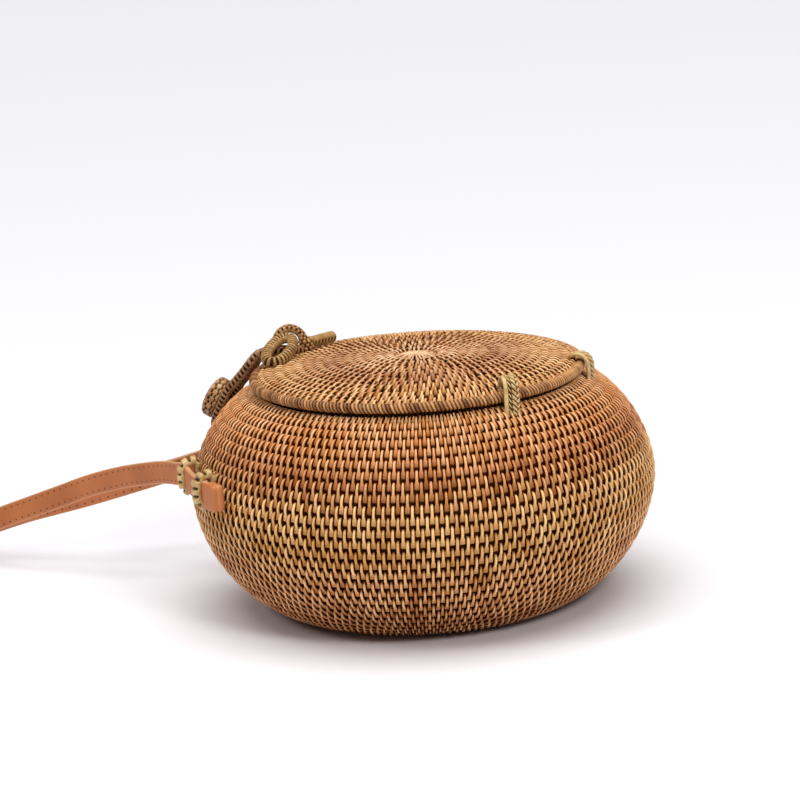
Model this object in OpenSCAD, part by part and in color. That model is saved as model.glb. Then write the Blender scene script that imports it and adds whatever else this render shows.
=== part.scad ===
// Round woven cane bag: a squat bowl, a domed lid on two plaited hinge loops,
// a knotted clasp over a woven button, and a leather strap held by four plaited loops.
// The clasp looks along -Y, +X is the right side, and the flat underside stands on z = 0.

/* [Bowl] */
// Width of the bag across its belly
bag_d = 200; // [192:1:208]
// Height of the belly, the widest ring of the wall
belly_h = 52.5; // [49:0.5:56]
// Width of the flat underside
base_d = 114; // [104:1:122]
// Width of the mouth inside the top row of the wall
mouth_d = 136; // [133:0.5:138]
// Height of the top row of the wall
shoulder_h = 96; // [93:0.5:99]
// Thickness of the woven wall
wall_t = 4; // [3.4:0.1:4.4]
// Roundness of the wall below the belly (1 is an ellipse)
foot_power = 1.14; // [1:0.02:1.3]
// Roundness of the wall above the belly (1 is an ellipse)
shoulder_power = 1.18; // [1.1:0.02:1.3]
// Height of a row of the weave, on the wall and on the lid
weave_row = 4.2; // [3.8:0.1:4.8]
// Depth of the groove between two rows of the weave
weave_groove = 1.1; // [0.7:0.1:1.3]
// Thickness of the cotton lining
lining_t = 0.8; // [0.5:0.1:1.1]

/* [Rims] */
// Thickness of the bound hoop round the mouth
mouth_rod_d = 4.4; // [3.8:0.1:4.6]
// Thickness of the bound hoop round the lid
lid_rod_d = 4.4; // [4:0.1:4.8]
// Thickness of the splint that binds both hoops
binding_t = 1; // [0.7:0.1:1.3]

/* [Lid] */
// Width of the lid over its bound hoop
lid_d = 145; // [143:0.1:146]
// Height of the lid's dome over the edge of its weave
lid_rise = 4.9; // [4:0.1:6]
// Roundness of the lid's dome (2 is a plain bow, more is flatter in the middle)
lid_power = 2.8; // [2:0.1:3.2]
// Thickness of the woven lid
lid_t = 3.4; // [3:0.1:3.8]
// Height of the edge of the lid's weave over the middle of its hoop
lid_edge_up = 2.3; // [2:0.1:2.8]
// Gap seen between the closed lid's hoop and the top row of the wall
lid_lift = 1.8; // [1.6:0.1:2.2]
// Gap between the closed lid's lining and the mouth's hoop under it
lid_seat_gap = 0.4; // [0.3:0.1:0.8]

/* [Hinge loops] */
// Turn of the hinge from straight behind the clasp, towards the right, in degrees
hinge_turn = 11; // [0:0.5:14]
// Turn of each hinge loop from the middle of the hinge, in degrees
hinge_spread = 25.2; // [22:0.2:30]
// Width of the plaited band of a hinge loop
hinge_band_w = 6.6; // [5.5:0.1:7.5]
// Thickness of the plaited band of a hinge loop
hinge_band_t = 1.7; // [1.3:0.1:1.9]
// Room between the lid's hoop and a hinge loop
hinge_slack = 1.8; // [1.7:0.1:2.2]
// Height of the middle of the right hinge loop's arch over the middle of the lid's hoop
hinge_rise_right = 3.2; // [0:0.1:3.4]
// Height of the middle of the left hinge loop's arch over the middle of the lid's hoop
hinge_rise_left = 0.2; // [0:0.1:3.4]
// Lean of the hinge loops about their own upright lines, in degrees
hinge_lean = 20; // [0:1:20]

/* [Button] */
// Width of the woven button
button_d = 18.6; // [17:0.2:19]
// Thickness of the woven button
button_t = 6.2; // [5.6:0.1:6.8]
// Room under the button for the clasp's loop
button_lift = 4.8; // [4.8:0.1:5.2]
// Turn of the button out of the shoulder's line, towards upright, in degrees
button_nod = 8; // [0:1:8]
// Roundness of the button's edges
button_edge = 1.9; // [1.2:0.1:2.4]
// Thickness of the peg that carries the button
peg_d = 5.4; // [4.6:0.1:5.8]

/* [Clasp] */
// Thickness of the bound cord of the loop over the button
loop_cord_d = 3.6; // [3.2:0.1:3.8]
// Half of the loop's width where it goes round the peg
loop_half_w = 7.2; // [6.8:0.1:7.6]
// Thickness of the bound cord of the knot's low ear
ear_low_cord_d = 4.8; // [4.4:0.1:5]
// Thickness of the bound cord of the knot's tall ear
knot_cord_d = 4.2; // [4:0.1:4.6]
// Distance of the knot's low ear from the middle of the lid
ear_low_r = 61.9; // [61.6:0.1:62.4]
// Half length of the low ear, along the lid's edge
ear_low_len = 10; // [9.6:0.1:10.6]
// Half width of the low ear, across the lid's edge
ear_low_w = 4.7; // [4.4:0.1:5.2]
// Half span of the tall ear
ear_tall_span = 7.4; // [7.2:0.1:7.8]
// Height of the tall ear over the lid
ear_tall_h = 9.9; // [9.5:0.1:10.5]
// Length of the cord's tail on the lid
tail_len = 15; // [12:0.5:17]
// Thickness of the cord's tail over its binding
tail_d = 5.2; // [4.4:0.1:5.4]

/* [Strap] */
// Width of the leather strap
strap_w = 10; // [9:0.2:10.6]
// Thickness of the leather strap, two plies
strap_t = 2.8; // [2.2:0.1:3]
// Height of the middle of the strap in its loops
strap_h = 63.3; // [61:0.5:65]
// Turn of the front strap loops from the clasp, in degrees
front_loop_turn = 31.5; // [30:0.5:33]
// Turn of the rear strap loops from the clasp, in degrees
rear_loop_turn = 46.5; // [45:0.5:47]
// Turn of the strap's folded ends from the clasp, in degrees
strap_end_turn = 53.5; // [53:0.5:56]
// Width of the plaited band of a strap loop
strap_band_w = 6.4; // [5.4:0.1:7]
// Thickness of the plaited band of a strap loop
strap_band_t = 2.2; // [1.8:0.1:2.6]
// Length of a folded strap end
strap_end_len = 10.6; // [9:0.1:11.5]
// Thickness of a folded strap end
strap_end_t = 5.6; // [5:0.1:6.2]
// Height of a folded strap end
strap_end_h = 12.6; // [11.5:0.1:13.5]
// Radius of the outer turn of the wound middle of the strap
coil_r = 54; // [52:1:56]
// Gap between the turns of the wound strap
coil_gap = 2.2; // [1.8:0.1:2.6]

/* [Hidden] */

// Small gap that keeps two separate pieces apart
fit_gap = 0.3;
// Gap between a hoop and the splint bound round it
bound_gap = 0.1;
// Overrun of every cut past the face it opens
overrun = 1;

// Straight pieces in each quarter of the wall's outline and of the lid's dome
outline_steps = 14;
// Straight pieces in the same outlines where the rows of the weave follow them
fine_steps = 40;
// Outline of one row: share of its height, share of the groove's depth
row_shares = [[0, 1], [0.24, 0], [0.76, 0]];
// Rows at the lid's middle that have no groove, because splints radiate there
lid_plain_rows = 3;
// Sides of the bound cords and rings round them
cord_sides = 8;
arch_rings = 16;
ear_rings = 28;
// Facets of the smooth turned pieces
turned_fn = 96;

cane = "goldenrod";
dark_cane = "saddlebrown";
green_cane = "darkkhaki";
cotton = "antiquewhite";
leather = "peru";

belly_r = bag_d / 2;
base_r = base_d / 2;
mouth_r = mouth_d / 2;
lid_rod_r = lid_d / 2 - lid_rod_d / 2;
lid_rod_z = shoulder_h + lid_lift + lid_rod_d / 2;
mouth_rod_r = mouth_r - fit_gap - mouth_rod_d / 2;
lid_edge_r = lid_rod_r - lid_rod_d / 2 - fit_gap / 2;
lid_edge_z = lid_rod_z + lid_edge_up;
// Height of the lid's upper face at a distance from its middle
function lid_top(r) = lid_edge_z + lid_rise * (1 - pow(r / lid_edge_r, lid_power));
// The mouth's hoop rises past the wall, to where the lid's lining comes down on it
mouth_rod_z = lid_top(mouth_rod_r) - lid_t - fit_gap - lining_t - lid_seat_gap
    - mouth_rod_d / 2;

// A point of the wall's outline, at turn a: 0 is the flat underside, 90 the belly
function foot_point(a) = [
    base_r + (belly_r - base_r) * pow(sin(a), foot_power),
    belly_h * (1 - pow(cos(a), foot_power))
];
// A point of the wall's outline, at turn a: 0 is the belly, 90 the mouth
function shoulder_point(a) = [
    mouth_r + (belly_r - mouth_r) * pow(cos(a), shoulder_power),
    belly_h + (shoulder_h - belly_h) * pow(sin(a), shoulder_power)
];
function wall_outline(steps) = concat(
    [for (i = [0:steps]) foot_point(90 * i / steps)],
    [for (i = [1:steps]) shoulder_point(90 * i / steps)]
);
wall_line = wall_outline(outline_steps);
function lid_outline(steps) = [
    for (i = [0:steps]) let (r = lid_edge_r * i / steps) [r, lid_top(r)]
];

function unit(v) = v / norm(v);
function reversed(list) = [for (i = [len(list) - 1:-1:0]) list[i]];
// Outward normal of an outline at point i; its two ends face straight down and up
function line_normal(line, i) =
    i == 0 ? [0, -1] :
    i == len(line) - 1 ? [0, 1] :
    let (d = line[i + 1] - line[i - 1]) unit([d[1], -d[0]]);
// The outline moved outwards by a gap, or inwards where the gap is negative
function moved(line, gap) = [for (i = [0:len(line) - 1]) line[i] + gap * line_normal(line, i)];

// Length of an outline up to each of its points
function line_marks(line) = [
    for (
        i = 0, s = 0;
        i < len(line);
        s = s + (i < len(line) - 1 ? norm(line[i + 1] - line[i]) : 0), i = i + 1
    ) s
];
// Point of an outline at the length s along it
function line_at(line, marks, s) = [
    for (axis = [0, 1])
        lookup(s, [for (i = [0:len(line) - 1]) [marks[i], line[i][axis]]])
];
// An outline with a groove between each two rows of the weave, past the first plain
// rows. side is 1 where the line has its outside to the right, and -1 to the left.
function woven_line(line, plain_rows, side) =
    let (
        marks = line_marks(line),
        length = marks[len(marks) - 1],
        rows = round(length / weave_row),
        row = length / rows
    )
    concat(
        [for (i = [0:rows - 1], mark = row_shares)
            let (
                s = (i + mark[0]) * row,
                d = line_at(line, marks, s + row / 2) - line_at(line, marks, s - row / 2),
                depth = i < plain_rows ? 0 : mark[1] * weave_groove
            )
            line_at(line, marks, s) - depth * side * unit([d[1], -d[0]])],
        [line[len(line) - 1]]
    );

// Place on a circle round the bag's axis, at a turn from the clasp towards the right
function around(r, turn, z) = [r * sin(turn), -r * cos(turn), z];

// Shell of revolution between two depths under the wall's outer face
module wall_shell(outer_depth, inner_depth) {
    outer = moved(wall_line, -outer_depth);
    inner = moved(wall_line, -inner_depth);
    rotate_extrude($fn = turned_fn)
        polygon(concat([[0, outer_depth]], outer, reversed(inner), [[0, inner_depth]]));
}

// The whole space inside the wall's outer face, grown by a gap
module wall_body(gap) {
    outer = moved(wall_line, gap);
    rotate_extrude($fn = turned_fn)
        polygon(concat([[0, -gap]], outer, [[0, shoulder_h + gap]]));
}

// Ring of round section, with an inner bore where bore_d is more than zero
module ring(ring_r, z, rod_d, bore_d) {
    translate([0, 0, z])
        rotate_extrude($fn = turned_fn)
            translate([ring_r, 0])
                difference() {
                    circle(d = rod_d, $fn = 32);
                    if (bore_d > 0) circle(d = bore_d, $fn = 32);
                }
}

// Hinge loop's outline in its own upright plane: x runs outwards from the middle of
// the lid's hoop, y runs up from the ground
arch_in_r = lid_rod_d / 2 + hinge_slack;
arch_out_r = arch_in_r + hinge_band_t;
function arch_z(side) = lid_rod_z + (side > 0 ? hinge_rise_right : hinge_rise_left);
hinge_jog_z = mouth_rod_z + mouth_rod_d / 2 + fit_gap;
// The inner leg's outer face clears the mouth's hoop, with room for the loop's lean
hinge_inner_r = mouth_rod_r - mouth_rod_d / 2 - fit_gap
    - hinge_band_w / 2 * sin(hinge_lean);
hinge_inner_x = (hinge_inner_r - lid_rod_r) / cos(hinge_lean) - hinge_band_t;
hinge_bottom_z = shoulder_h - wall_t - lining_t - 2 * hinge_band_t;

module bar_2d(low, high, gap) {
    translate([low[0] - gap, low[1] - gap])
        square([high[0] - low[0] + 2 * gap, high[1] - low[1] + 2 * gap]);
}

module hinge_outline(side, gap) {
    intersection() {
        translate([0, arch_z(side)])
            difference() {
                circle(r = arch_out_r + gap, $fn = 48);
                circle(r = arch_in_r - gap, $fn = 48);
            }
        translate([-2 * arch_out_r, arch_z(side)])
            square([4 * arch_out_r, 2 * arch_out_r]);
    }
    // Outer leg, down through the shoulder
    bar_2d([arch_in_r, hinge_bottom_z], [arch_out_r, arch_z(side)], gap);
    // Inner leg, down through the lid's weave, and its step in past the mouth's hoop
    bar_2d([-arch_out_r, hinge_jog_z], [-arch_in_r, arch_z(side)], gap);
    bar_2d([hinge_inner_x, hinge_jog_z], [-arch_in_r, hinge_jog_z + hinge_band_t], gap);
    bar_2d(
        [hinge_inner_x, hinge_bottom_z],
        [hinge_inner_x + hinge_band_t, hinge_jog_z + hinge_band_t],
        gap
    );
    // Foot of the loop, under the shoulder
    bar_2d([hinge_inner_x, hinge_bottom_z], [arch_out_r, hinge_bottom_z + hinge_band_t], gap);
}

// side is 1 for the right loop and -1 for the left one
module hinge_loop(side, gap = 0) {
    rotate([0, 0, 90 - hinge_turn - side * hinge_spread])
        translate([lid_rod_r, 0, 0])
            rotate([90, 0, -hinge_lean])
                linear_extrude(hinge_band_w + 2 * gap, center = true)
                    hinge_outline(side, gap);
}

module hinge_slots() {
    hinge_loop(1, fit_gap);
    hinge_loop(-1, fit_gap);
}

module bowl_weave() {
    color(cane)
        difference() {
            rotate_extrude($fn = turned_fn)
                polygon(concat(
                    [[0, 0]],
                    woven_line(wall_outline(fine_steps), 1, 1),
                    reversed(moved(wall_line, -wall_t)),
                    [[0, wall_t]]
                ));
            hinge_slots();
        }
}

module bowl_lining() {
    color(cotton)
        difference() {
            wall_shell(wall_t + fit_gap, wall_t + fit_gap + lining_t);
            hinge_slots();
        }
}

module mouth_hoop() {
    color(dark_cane) ring(mouth_rod_r, mouth_rod_z, mouth_rod_d - 2 * binding_t, 0);
}

module mouth_binding() {
    bore_d = mouth_rod_d - 2 * binding_t + 2 * bound_gap;
    color(cane) ring(mouth_rod_r, mouth_rod_z, mouth_rod_d, bore_d);
}

module lid_hoop() {
    color(dark_cane) ring(lid_rod_r, lid_rod_z, lid_rod_d - 2 * binding_t, 0);
}

module lid_binding() {
    bore_d = lid_rod_d - 2 * binding_t + 2 * bound_gap;
    color(cane) ring(lid_rod_r, lid_rod_z, lid_rod_d, bore_d);
}

// Domed disc between two depths under the lid's upper face
module lid_disc(top_depth, bottom_depth, edge_r) {
    radii = [for (i = [0:outline_steps]) edge_r * i / outline_steps];
    top = [for (r = radii) [r, lid_top(r) - top_depth]];
    bottom = [for (r = radii) [r, lid_top(r) - bottom_depth]];
    rotate_extrude($fn = turned_fn) polygon(concat(top, reversed(bottom)));
}

module lid_weave() {
    under = [for (p = lid_outline(outline_steps)) p - [0, lid_t]];
    color(cane)
        difference() {
            rotate_extrude($fn = turned_fn)
                polygon(concat(
                    woven_line(lid_outline(fine_steps), lid_plain_rows, -1),
                    reversed(under)
                ));
            hinge_slots();
        }
}

module lid_lining() {
    color(cotton)
        difference() {
            lid_disc(lid_t + fit_gap, lid_t + fit_gap + lining_t, lid_edge_r - lining_t);
            hinge_slots();
        }
}

// Rings of points along a path. ref is square to the path's general plane.
// x of the section lies across ref, and y of the section along it.
function path_tangent(path, i, closed) =
    let (n = len(path))
    closed ? unit(path[(i + 1) % n] - path[(i + n - 1) % n]) :
    i == 0 ? unit(path[1] - path[0]) :
    i == n - 1 ? unit(path[i] - path[i - 1]) :
    unit(path[i + 1] - path[i - 1]);
function section_ring(p, t, ref, section) =
    let (s = unit(cross(ref, t)), u = cross(t, s))
    [for (q = section) p + s * q[0] + u * q[1]];
function flat(lists) = [for (l = lists) for (v = l) v];

// Tube of any section along a path, closed on itself or capped at both ends.
// first and last, where given, are the directions that its two ends face along.
module tube(path, section, ref, closed = false, first = undef, last = undef) {
    n = len(path);
    m = len(section);
    rings = [for (i = [0:n - 1])
        let (t = (i == 0 && first != undef) ? first :
                 (i == n - 1 && last != undef) ? last :
                 path_tangent(path, i, closed))
        section_ring(path[i], t, ref, section)];
    spans = closed ? n : n - 1;
    sides = flat([for (i = [0:spans - 1]) for (j = [0:m - 1])
        let (a = i * m + j,
             b = ((i + 1) % n) * m + j,
             c = ((i + 1) % n) * m + (j + 1) % m,
             d = i * m + (j + 1) % m)
        [[a, b, c], [a, c, d]]]);
    first_cap = [for (j = [1:m - 2]) [0, j, j + 1]];
    last_start = (n - 1) * m;
    last_cap = [for (j = [1:m - 2]) [last_start, last_start + j + 1, last_start + j]];
    polyhedron(flat(rings), closed ? sides : concat(sides, first_cap, last_cap), convexity = 6);
}

function round_section(d) =
    [for (j = [0:cord_sides - 1]) d / 2 * [cos(360 * j / cord_sides), sin(360 * j / cord_sides)]];

// The button stands square on the shoulder, at this turn of the wall's upper outline
button_place = 45;
button_foot = shoulder_point(button_place);
button_ahead = shoulder_point(button_place - 1);
// Angle of the button's axis over the level: square to the shoulder, less its nod
shoulder_dip = button_ahead - button_foot;
button_tilt = atan2(shoulder_dip[0], -shoulder_dip[1]) - button_nod;
// Direction down the button's face, and direction of its axis, both as [outwards, up]
button_out = [cos(button_tilt), sin(button_tilt)];
button_down = [button_out[1], -button_out[0]];

// Moves a piece made on +Z from the origin onto the button's foot
module on_button_foot() {
    translate([0, -button_foot[0], button_foot[1]])
        rotate([90 - button_tilt, 0, 0])
            children();
}

// Thickness of the weave over the peg's head
button_crown = button_t / 4;

module button_peg() {
    color(dark_cane)
        difference() {
            on_button_foot()
                translate([0, 0, -wall_t])
                    cylinder(
                        h = wall_t + button_lift + button_t - button_crown - fit_gap,
                        d = peg_d,
                        $fn = 40
                    );
            wall_body(fit_gap / 3);
        }
}

module button_weave() {
    bore_r = peg_d / 2 + bound_gap;
    color(green_cane)
        on_button_foot()
            translate([0, 0, button_lift])
                difference() {
                    rotate_extrude($fn = turned_fn)
                        rounded_half(button_d / 2, button_t, button_edge);
                    translate([0, 0, -overrun])
                        cylinder(h = button_t - button_crown + overrun, r = bore_r, $fn = 40);
                }
}

// Half of a disc's section: flat at the axis, with two round outer edges
module rounded_half(r, h, edge) {
    square([r - edge, h]);
    translate([0, edge]) square([r, h - 2 * edge]);
    translate([r - edge, edge]) circle(r = edge, $fn = 32);
    translate([r - edge, h - edge]) circle(r = edge, $fn = 32);
}

// The clasp's loop hangs from the lid's edge over the button's peg. Places are given
// as [outwards, up]: the head lies clear of the lid's hoop, the cord goes under the
// button on both sides of the peg, and the toe comes round under the button's edge.
loop_head = [
    lid_d / 2 + loop_cord_d * 0.78,
    lid_rod_z + lid_rod_d / 2 + loop_cord_d * 0.7
];
// Height of the cord's middle over the button's foot, along the button's axis
loop_under = button_lift - loop_cord_d / 2 - fit_gap;
loop_reach = button_d / 2 + loop_cord_d / 2 + fit_gap;
// Upper part: share of the way from the head to where the cord meets the button,
// share of the half width, and share of the cord's thickness off the straight line
loop_upper_shares = [
    [0, 0, 0], [0.06, 0.3, 0.04], [0.16, 0.55, 0.1], [0.4, 0.7, 0.17], [0.7, 0.84, 0.12]
];
// Lower part, along the button's face: share of the reach, of the half width and of the
// height of the cord's middle
loop_lower_shares = [
    [-0.73, 0.96, 1], [-0.24, 1, 1], [0.24, 1, 1], [0.62, 0.8, 1], [0.85, 0.52, 1.05]
];
function loop_lower(row) =
    button_foot + button_down * loop_reach * row[0] + button_out * loop_under * row[2];
loop_lap = loop_lower(loop_lower_shares[0]);
loop_way = loop_lap - loop_head;
loop_lift = unit([-loop_way[1], loop_way[0]]);
function loop_upper(row) =
    loop_head + loop_way * row[0] - loop_lift * loop_cord_d * row[2];
function loop_place(p, half) = [half * loop_half_w, -p[0], p[1]];
function loop_side(side) = concat(
    [for (row = loop_upper_shares) loop_place(loop_upper(row), side * row[1])],
    [for (row = loop_lower_shares) loop_place(loop_lower(row), side * row[1])]
);
loop_right = loop_side(1);
loop_left = loop_side(-1);
loop_path = concat(
    loop_right,
    [loop_place(loop_lower([1, 0, 1.3]), 0)],
    [for (i = [len(loop_left) - 1:-1:1]) loop_left[i]]
);

module clasp_loop() {
    // Square to the plane that the loop lies in
    off_plane = [0, -loop_lift[0], loop_lift[1]];
    color(dark_cane)
        tube(loop_path, round_section(loop_cord_d), off_plane, closed = true);
}

// The low ear is a tilted oval that lies over the lid's edge and runs under the tall ear
ear_low_mid = [
    ear_low_len / 2,
    -ear_low_r,
    lid_rod_z + lid_rod_d / 2 + ear_low_cord_d * 1.31
];
ear_low_along = [ear_low_len, ear_low_w * 0.15, -ear_low_cord_d * 0.53];
ear_low_across = [ear_low_w * 0.3, -ear_low_w, ear_low_cord_d * 0.04];
ear_low_path = [for (i = [0:ear_rings - 1])
    let (a = 360 * i / ear_rings)
    ear_low_mid + ear_low_along * cos(a) + ear_low_across * sin(a)];

module clasp_ear_low() {
    color(green_cane)
        tube(
            ear_low_path,
            round_section(ear_low_cord_d),
            unit(cross(ear_low_along, ear_low_across)),
            closed = true
        );
}

// The tall ear is an arch on the lid over the back end of the low ear
ear_tall_mid = [
    ear_low_mid[0] - ear_low_len - knot_cord_d * 1.6,
    -ear_low_r - knot_cord_d * 0.55,
    lid_top(ear_low_r - ear_tall_span)
];
ear_tall_dir = unit([-0.22, 1, 0]);
ear_tall_foot_up = fit_gap;
ear_tall_path = [for (i = [0:arch_rings])
    let (a = 180 * i / arch_rings)
    ear_tall_mid
        + ear_tall_dir * ear_tall_span * cos(a)
        + [0, 0, ear_tall_foot_up + ear_tall_h * sin(a)]];

module clasp_ear_tall() {
    color(cane)
        difference() {
            tube(
                ear_tall_path,
                round_section(knot_cord_d),
                cross([0, 0, 1], ear_tall_dir),
                first = [0, 0, 1],
                last = [0, 0, -1]
            );
            lid_space();
        }
}

// The lid's weave and hoop, grown by the gap that the knot stands off them
module lid_space() {
    lid_disc(-fit_gap, lid_t, lid_edge_r);
    ring(lid_rod_r, lid_rod_z, lid_rod_d + 2 * fit_gap, 0);
}

// A short lashing binds the inner foot of the tall ear down to the lid
lashing_in_r = knot_cord_d / 2 + bound_gap;
lashing_t = knot_cord_d / 4;
lashing_h = knot_cord_d / 2;
lashing_place = ear_tall_mid + ear_tall_dir * ear_tall_span;

module clasp_lashing() {
    color(dark_cane)
        difference() {
            translate([lashing_place[0], lashing_place[1], lashing_place[2]])
                difference() {
                    cylinder(h = lashing_h, r = lashing_in_r + lashing_t, $fn = 40);
                    translate([0, 0, -overrun])
                        cylinder(h = lashing_h + 2 * overrun, r = lashing_in_r, $fn = 40);
                }
            lid_space();
        }
}

// The cord's tail lies on the lid, from the lashing towards the left
tail_dir = unit([-1, 0.33, 0]);
tail_start = [
    lashing_place[0],
    lashing_place[1],
    lid_top(norm([lashing_place[0], lashing_place[1]])) + tail_d * 0.9
] + tail_dir * (lashing_in_r + lashing_t + fit_gap);

module clasp_tail() {
    color(green_cane)
        difference() {
            translate(tail_start)
                rotate([0, 90, atan2(tail_dir[1], tail_dir[0])])
                    union() {
                        cylinder(h = tail_len - tail_d / 2, d = tail_d, $fn = 32);
                        translate([0, 0, tail_len - tail_d / 2])
                            sphere(d = tail_d, $fn = 32);
                    }
            lid_space();
        }
}

// The strap lies in its loops at this distance from the bag's axis
strap_r = belly_r + fit_gap + strap_t / 2 + lining_t;
strap_loop_in = strap_r + strap_t / 2 + fit_gap;
strap_loop_out = strap_loop_in + strap_band_t;
strap_loop_room = strap_w / 2 + 2 * fit_gap;

// Upright section of a strap loop, with round outer corners: x runs outwards
module loop_section(reach, half_h, corner) {
    translate([belly_r / 2, -half_h]) square([reach - corner - belly_r / 2, 2 * half_h]);
    translate([belly_r / 2, corner - half_h])
        square([reach - belly_r / 2, 2 * (half_h - corner)]);
    for (up = [-1, 1])
        translate([reach - corner, up * (half_h - corner)]) circle(r = corner, $fn = 48);
}

// Turns a piece that points along +X so that it points out of the bag at a turn
module at_turn(turn) {
    rotate([0, 0, turn - 90]) children();
}

module strap_loop(turn) {
    corner = strap_t / 2;
    color(green_cane)
        difference() {
            at_turn(turn)
                translate([0, 0, strap_h])
                    rotate([90, 0, 0])
                        linear_extrude(strap_band_w, center = true)
                            difference() {
                                loop_section(
                                    strap_loop_out,
                                    strap_loop_room + strap_band_t,
                                    corner + strap_band_t
                                );
                                loop_section(strap_loop_in, strap_loop_room, corner);
                            }
            wall_body(fit_gap);
        }
}

strap_end_in = belly_r + fit_gap;

// side is 1 for the right end and -1 for the left one
module strap_end(side) {
    edge = strap_t / 3;
    color(leather)
        at_turn(side * strap_end_turn)
            translate([strap_end_in, -strap_end_len / 2, strap_h - strap_end_h / 2])
                union() {
                    translate([0, 0, edge])
                        cube([strap_end_t, strap_end_len, strap_end_h - 2 * edge]);
                    translate([edge, 0, 0])
                        cube([strap_end_t - 2 * edge, strap_end_len, strap_end_h]);
                }
}

// The strap's section, on edge: x is its thickness and y its width
function strap_section(edge) = [
    [strap_t / 2, edge - strap_w / 2], [strap_t / 2, strap_w / 2 - edge],
    [strap_t / 2 - edge, strap_w / 2], [edge - strap_t / 2, strap_w / 2],
    [-strap_t / 2, strap_w / 2 - edge], [-strap_t / 2, edge - strap_w / 2],
    [edge - strap_t / 2, -strap_w / 2], [strap_t / 2 - edge, -strap_w / 2]
];
coil_section = [
    [strap_t / 2, strap_t / 3 - strap_w / 2], [strap_t / 2, strap_w / 2 - strap_t / 3],
    [0, strap_w / 2],
    [-strap_t / 2, strap_w / 2 - strap_t / 3], [-strap_t / 2, strap_t / 3 - strap_w / 2],
    [0, -strap_w / 2]
];

// Middle line of each free run, from its front loop to the table, chosen by hand
right_route = [
    [45, -96, 62], [38, -105, 60.4], [30, -117, 57.4], [20, -137, 52], [14, -156, 46],
    [9, -173, 39.4], [5, -193, 31.8], [2, -211, 25], [-1, -230, 17.5], [-4, -249, 10],
    [-6, -268, 6]
];
left_route = [
    [-48, -95, 60.6], [-42, -106, 54], [-36, -118, 48], [-30, -128, 45], [-22, -139, 42.6],
    [-17, -153, 38.8], [-14, -171, 33.6], [-12.5, -188, 29], [-12, -206, 24], [-12, -222, 18.6],
    [-12, -239, 12.4], [-12, -256, 7.4], [-12, -272, 5.4]
];
// Where both runs reach the wound middle of the strap
coil_entry = [-12, -290];
coil_step = strap_t + coil_gap;

// The strap lies in its loops from the folded end until it is clear of the front loop
clear_turn = front_loop_turn - atan2(strap_band_w / 2 + fit_gap, strap_r);
held_turns = [
    rear_loop_turn, (rear_loop_turn + front_loop_turn) / 2, front_loop_turn, clear_turn
];
function held_points(side) = [for (turn = held_turns) around(strap_r, side * turn, strap_h)];
function end_face(side) =
    around(strap_r, side * strap_end_turn, strap_h)
    - side * strap_end_len / 2 * [cos(side * strap_end_turn), sin(side * strap_end_turn), 0];
function end_dir(side) = -side * [cos(side * strap_end_turn), sin(side * strap_end_turn), 0];

module strap_run(side, route, entry_x) {
    path = concat(
        [end_face(side)],
        held_points(side),
        route,
        [[entry_x, coil_entry[1], strap_w / 2]]
    );
    color(leather)
        tube(path, strap_section(strap_t / 4), [0, 0, 1],
            first = end_dir(side), last = [0, -1, 0]);
}

// The wound middle: two runs side by side wind in for one turn, and a double bend joins them
coil_turn = 360;
coil_mid = [coil_entry[0] + coil_r, coil_entry[1]];
function coil_radius(a) = coil_r - 2 * coil_step * a / 360;
coil_bend_r = coil_radius(coil_turn) / 2;
function coil_point(r, a) = [coil_mid[0] + r * cos(a), coil_mid[1] + r * sin(a), strap_w / 2];
coil_path = concat(
    [for (a = [0:15:coil_turn]) coil_point(coil_radius(a), 180 + a)],
    [for (a = [18:18:180])
        coil_point(0, 0) + coil_bend_r * [cos(180 + a) - 1, sin(180 + a), 0]],
    [for (a = [18:18:162])
        coil_point(0, 0) + coil_bend_r * [cos(180 - a) + 1, sin(180 - a), 0]],
    [for (a = [coil_turn:-15:180]) coil_point(coil_radius(a), a)]
);
// Least gap between parts of the wound strap that are not neighbours along it
coil_points = len(coil_path);
coil_least_gap = min([
    for (i = [0:coil_points - 9])
        for (j = [i + 8:coil_points - 1])
            norm(coil_path[i] - coil_path[j]) - strap_t
]);
echo(coil_least_gap = coil_least_gap);

module strap_coil() {
    color(leather)
        tube(coil_path, coil_section, [0, 0, 1], first = [0, -1, 0], last = [0, 1, 0]);
}

bowl_weave();
mouth_hoop();
mouth_binding();
bowl_lining();
lid_weave();
lid_hoop();
lid_binding();
lid_lining();
color(green_cane) hinge_loop(-1);  // hinge_loop_left
color(green_cane) hinge_loop(1);  // hinge_loop_right
button_peg();
button_weave();
clasp_loop();
clasp_ear_low();
clasp_ear_tall();
clasp_lashing();
clasp_tail();
strap_loop(front_loop_turn);  // strap_loop_right_front
strap_loop(rear_loop_turn);  // strap_loop_right_rear
strap_loop(-front_loop_turn);  // strap_loop_left_front
strap_loop(-rear_loop_turn);  // strap_loop_left_rear
strap_end(1);  // strap_end_right
strap_end(-1);  // strap_end_left
strap_run(1, right_route, coil_entry[0] + coil_step);  // strap_run_right
strap_run(-1, left_route, coil_entry[0]);  // strap_run_left
strap_coil();
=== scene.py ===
"""Round woven cane bag with a hinged lid, a knotted clasp and a leather strap.

Every shape is a surface worked out with numpy, in millimetres, on the same sizes as the
part: +Z up, the clasp along -Y, the flat underside on z = 0.
"""
import math

import bpy
import numpy as np
from mathutils import Matrix, Vector


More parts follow.
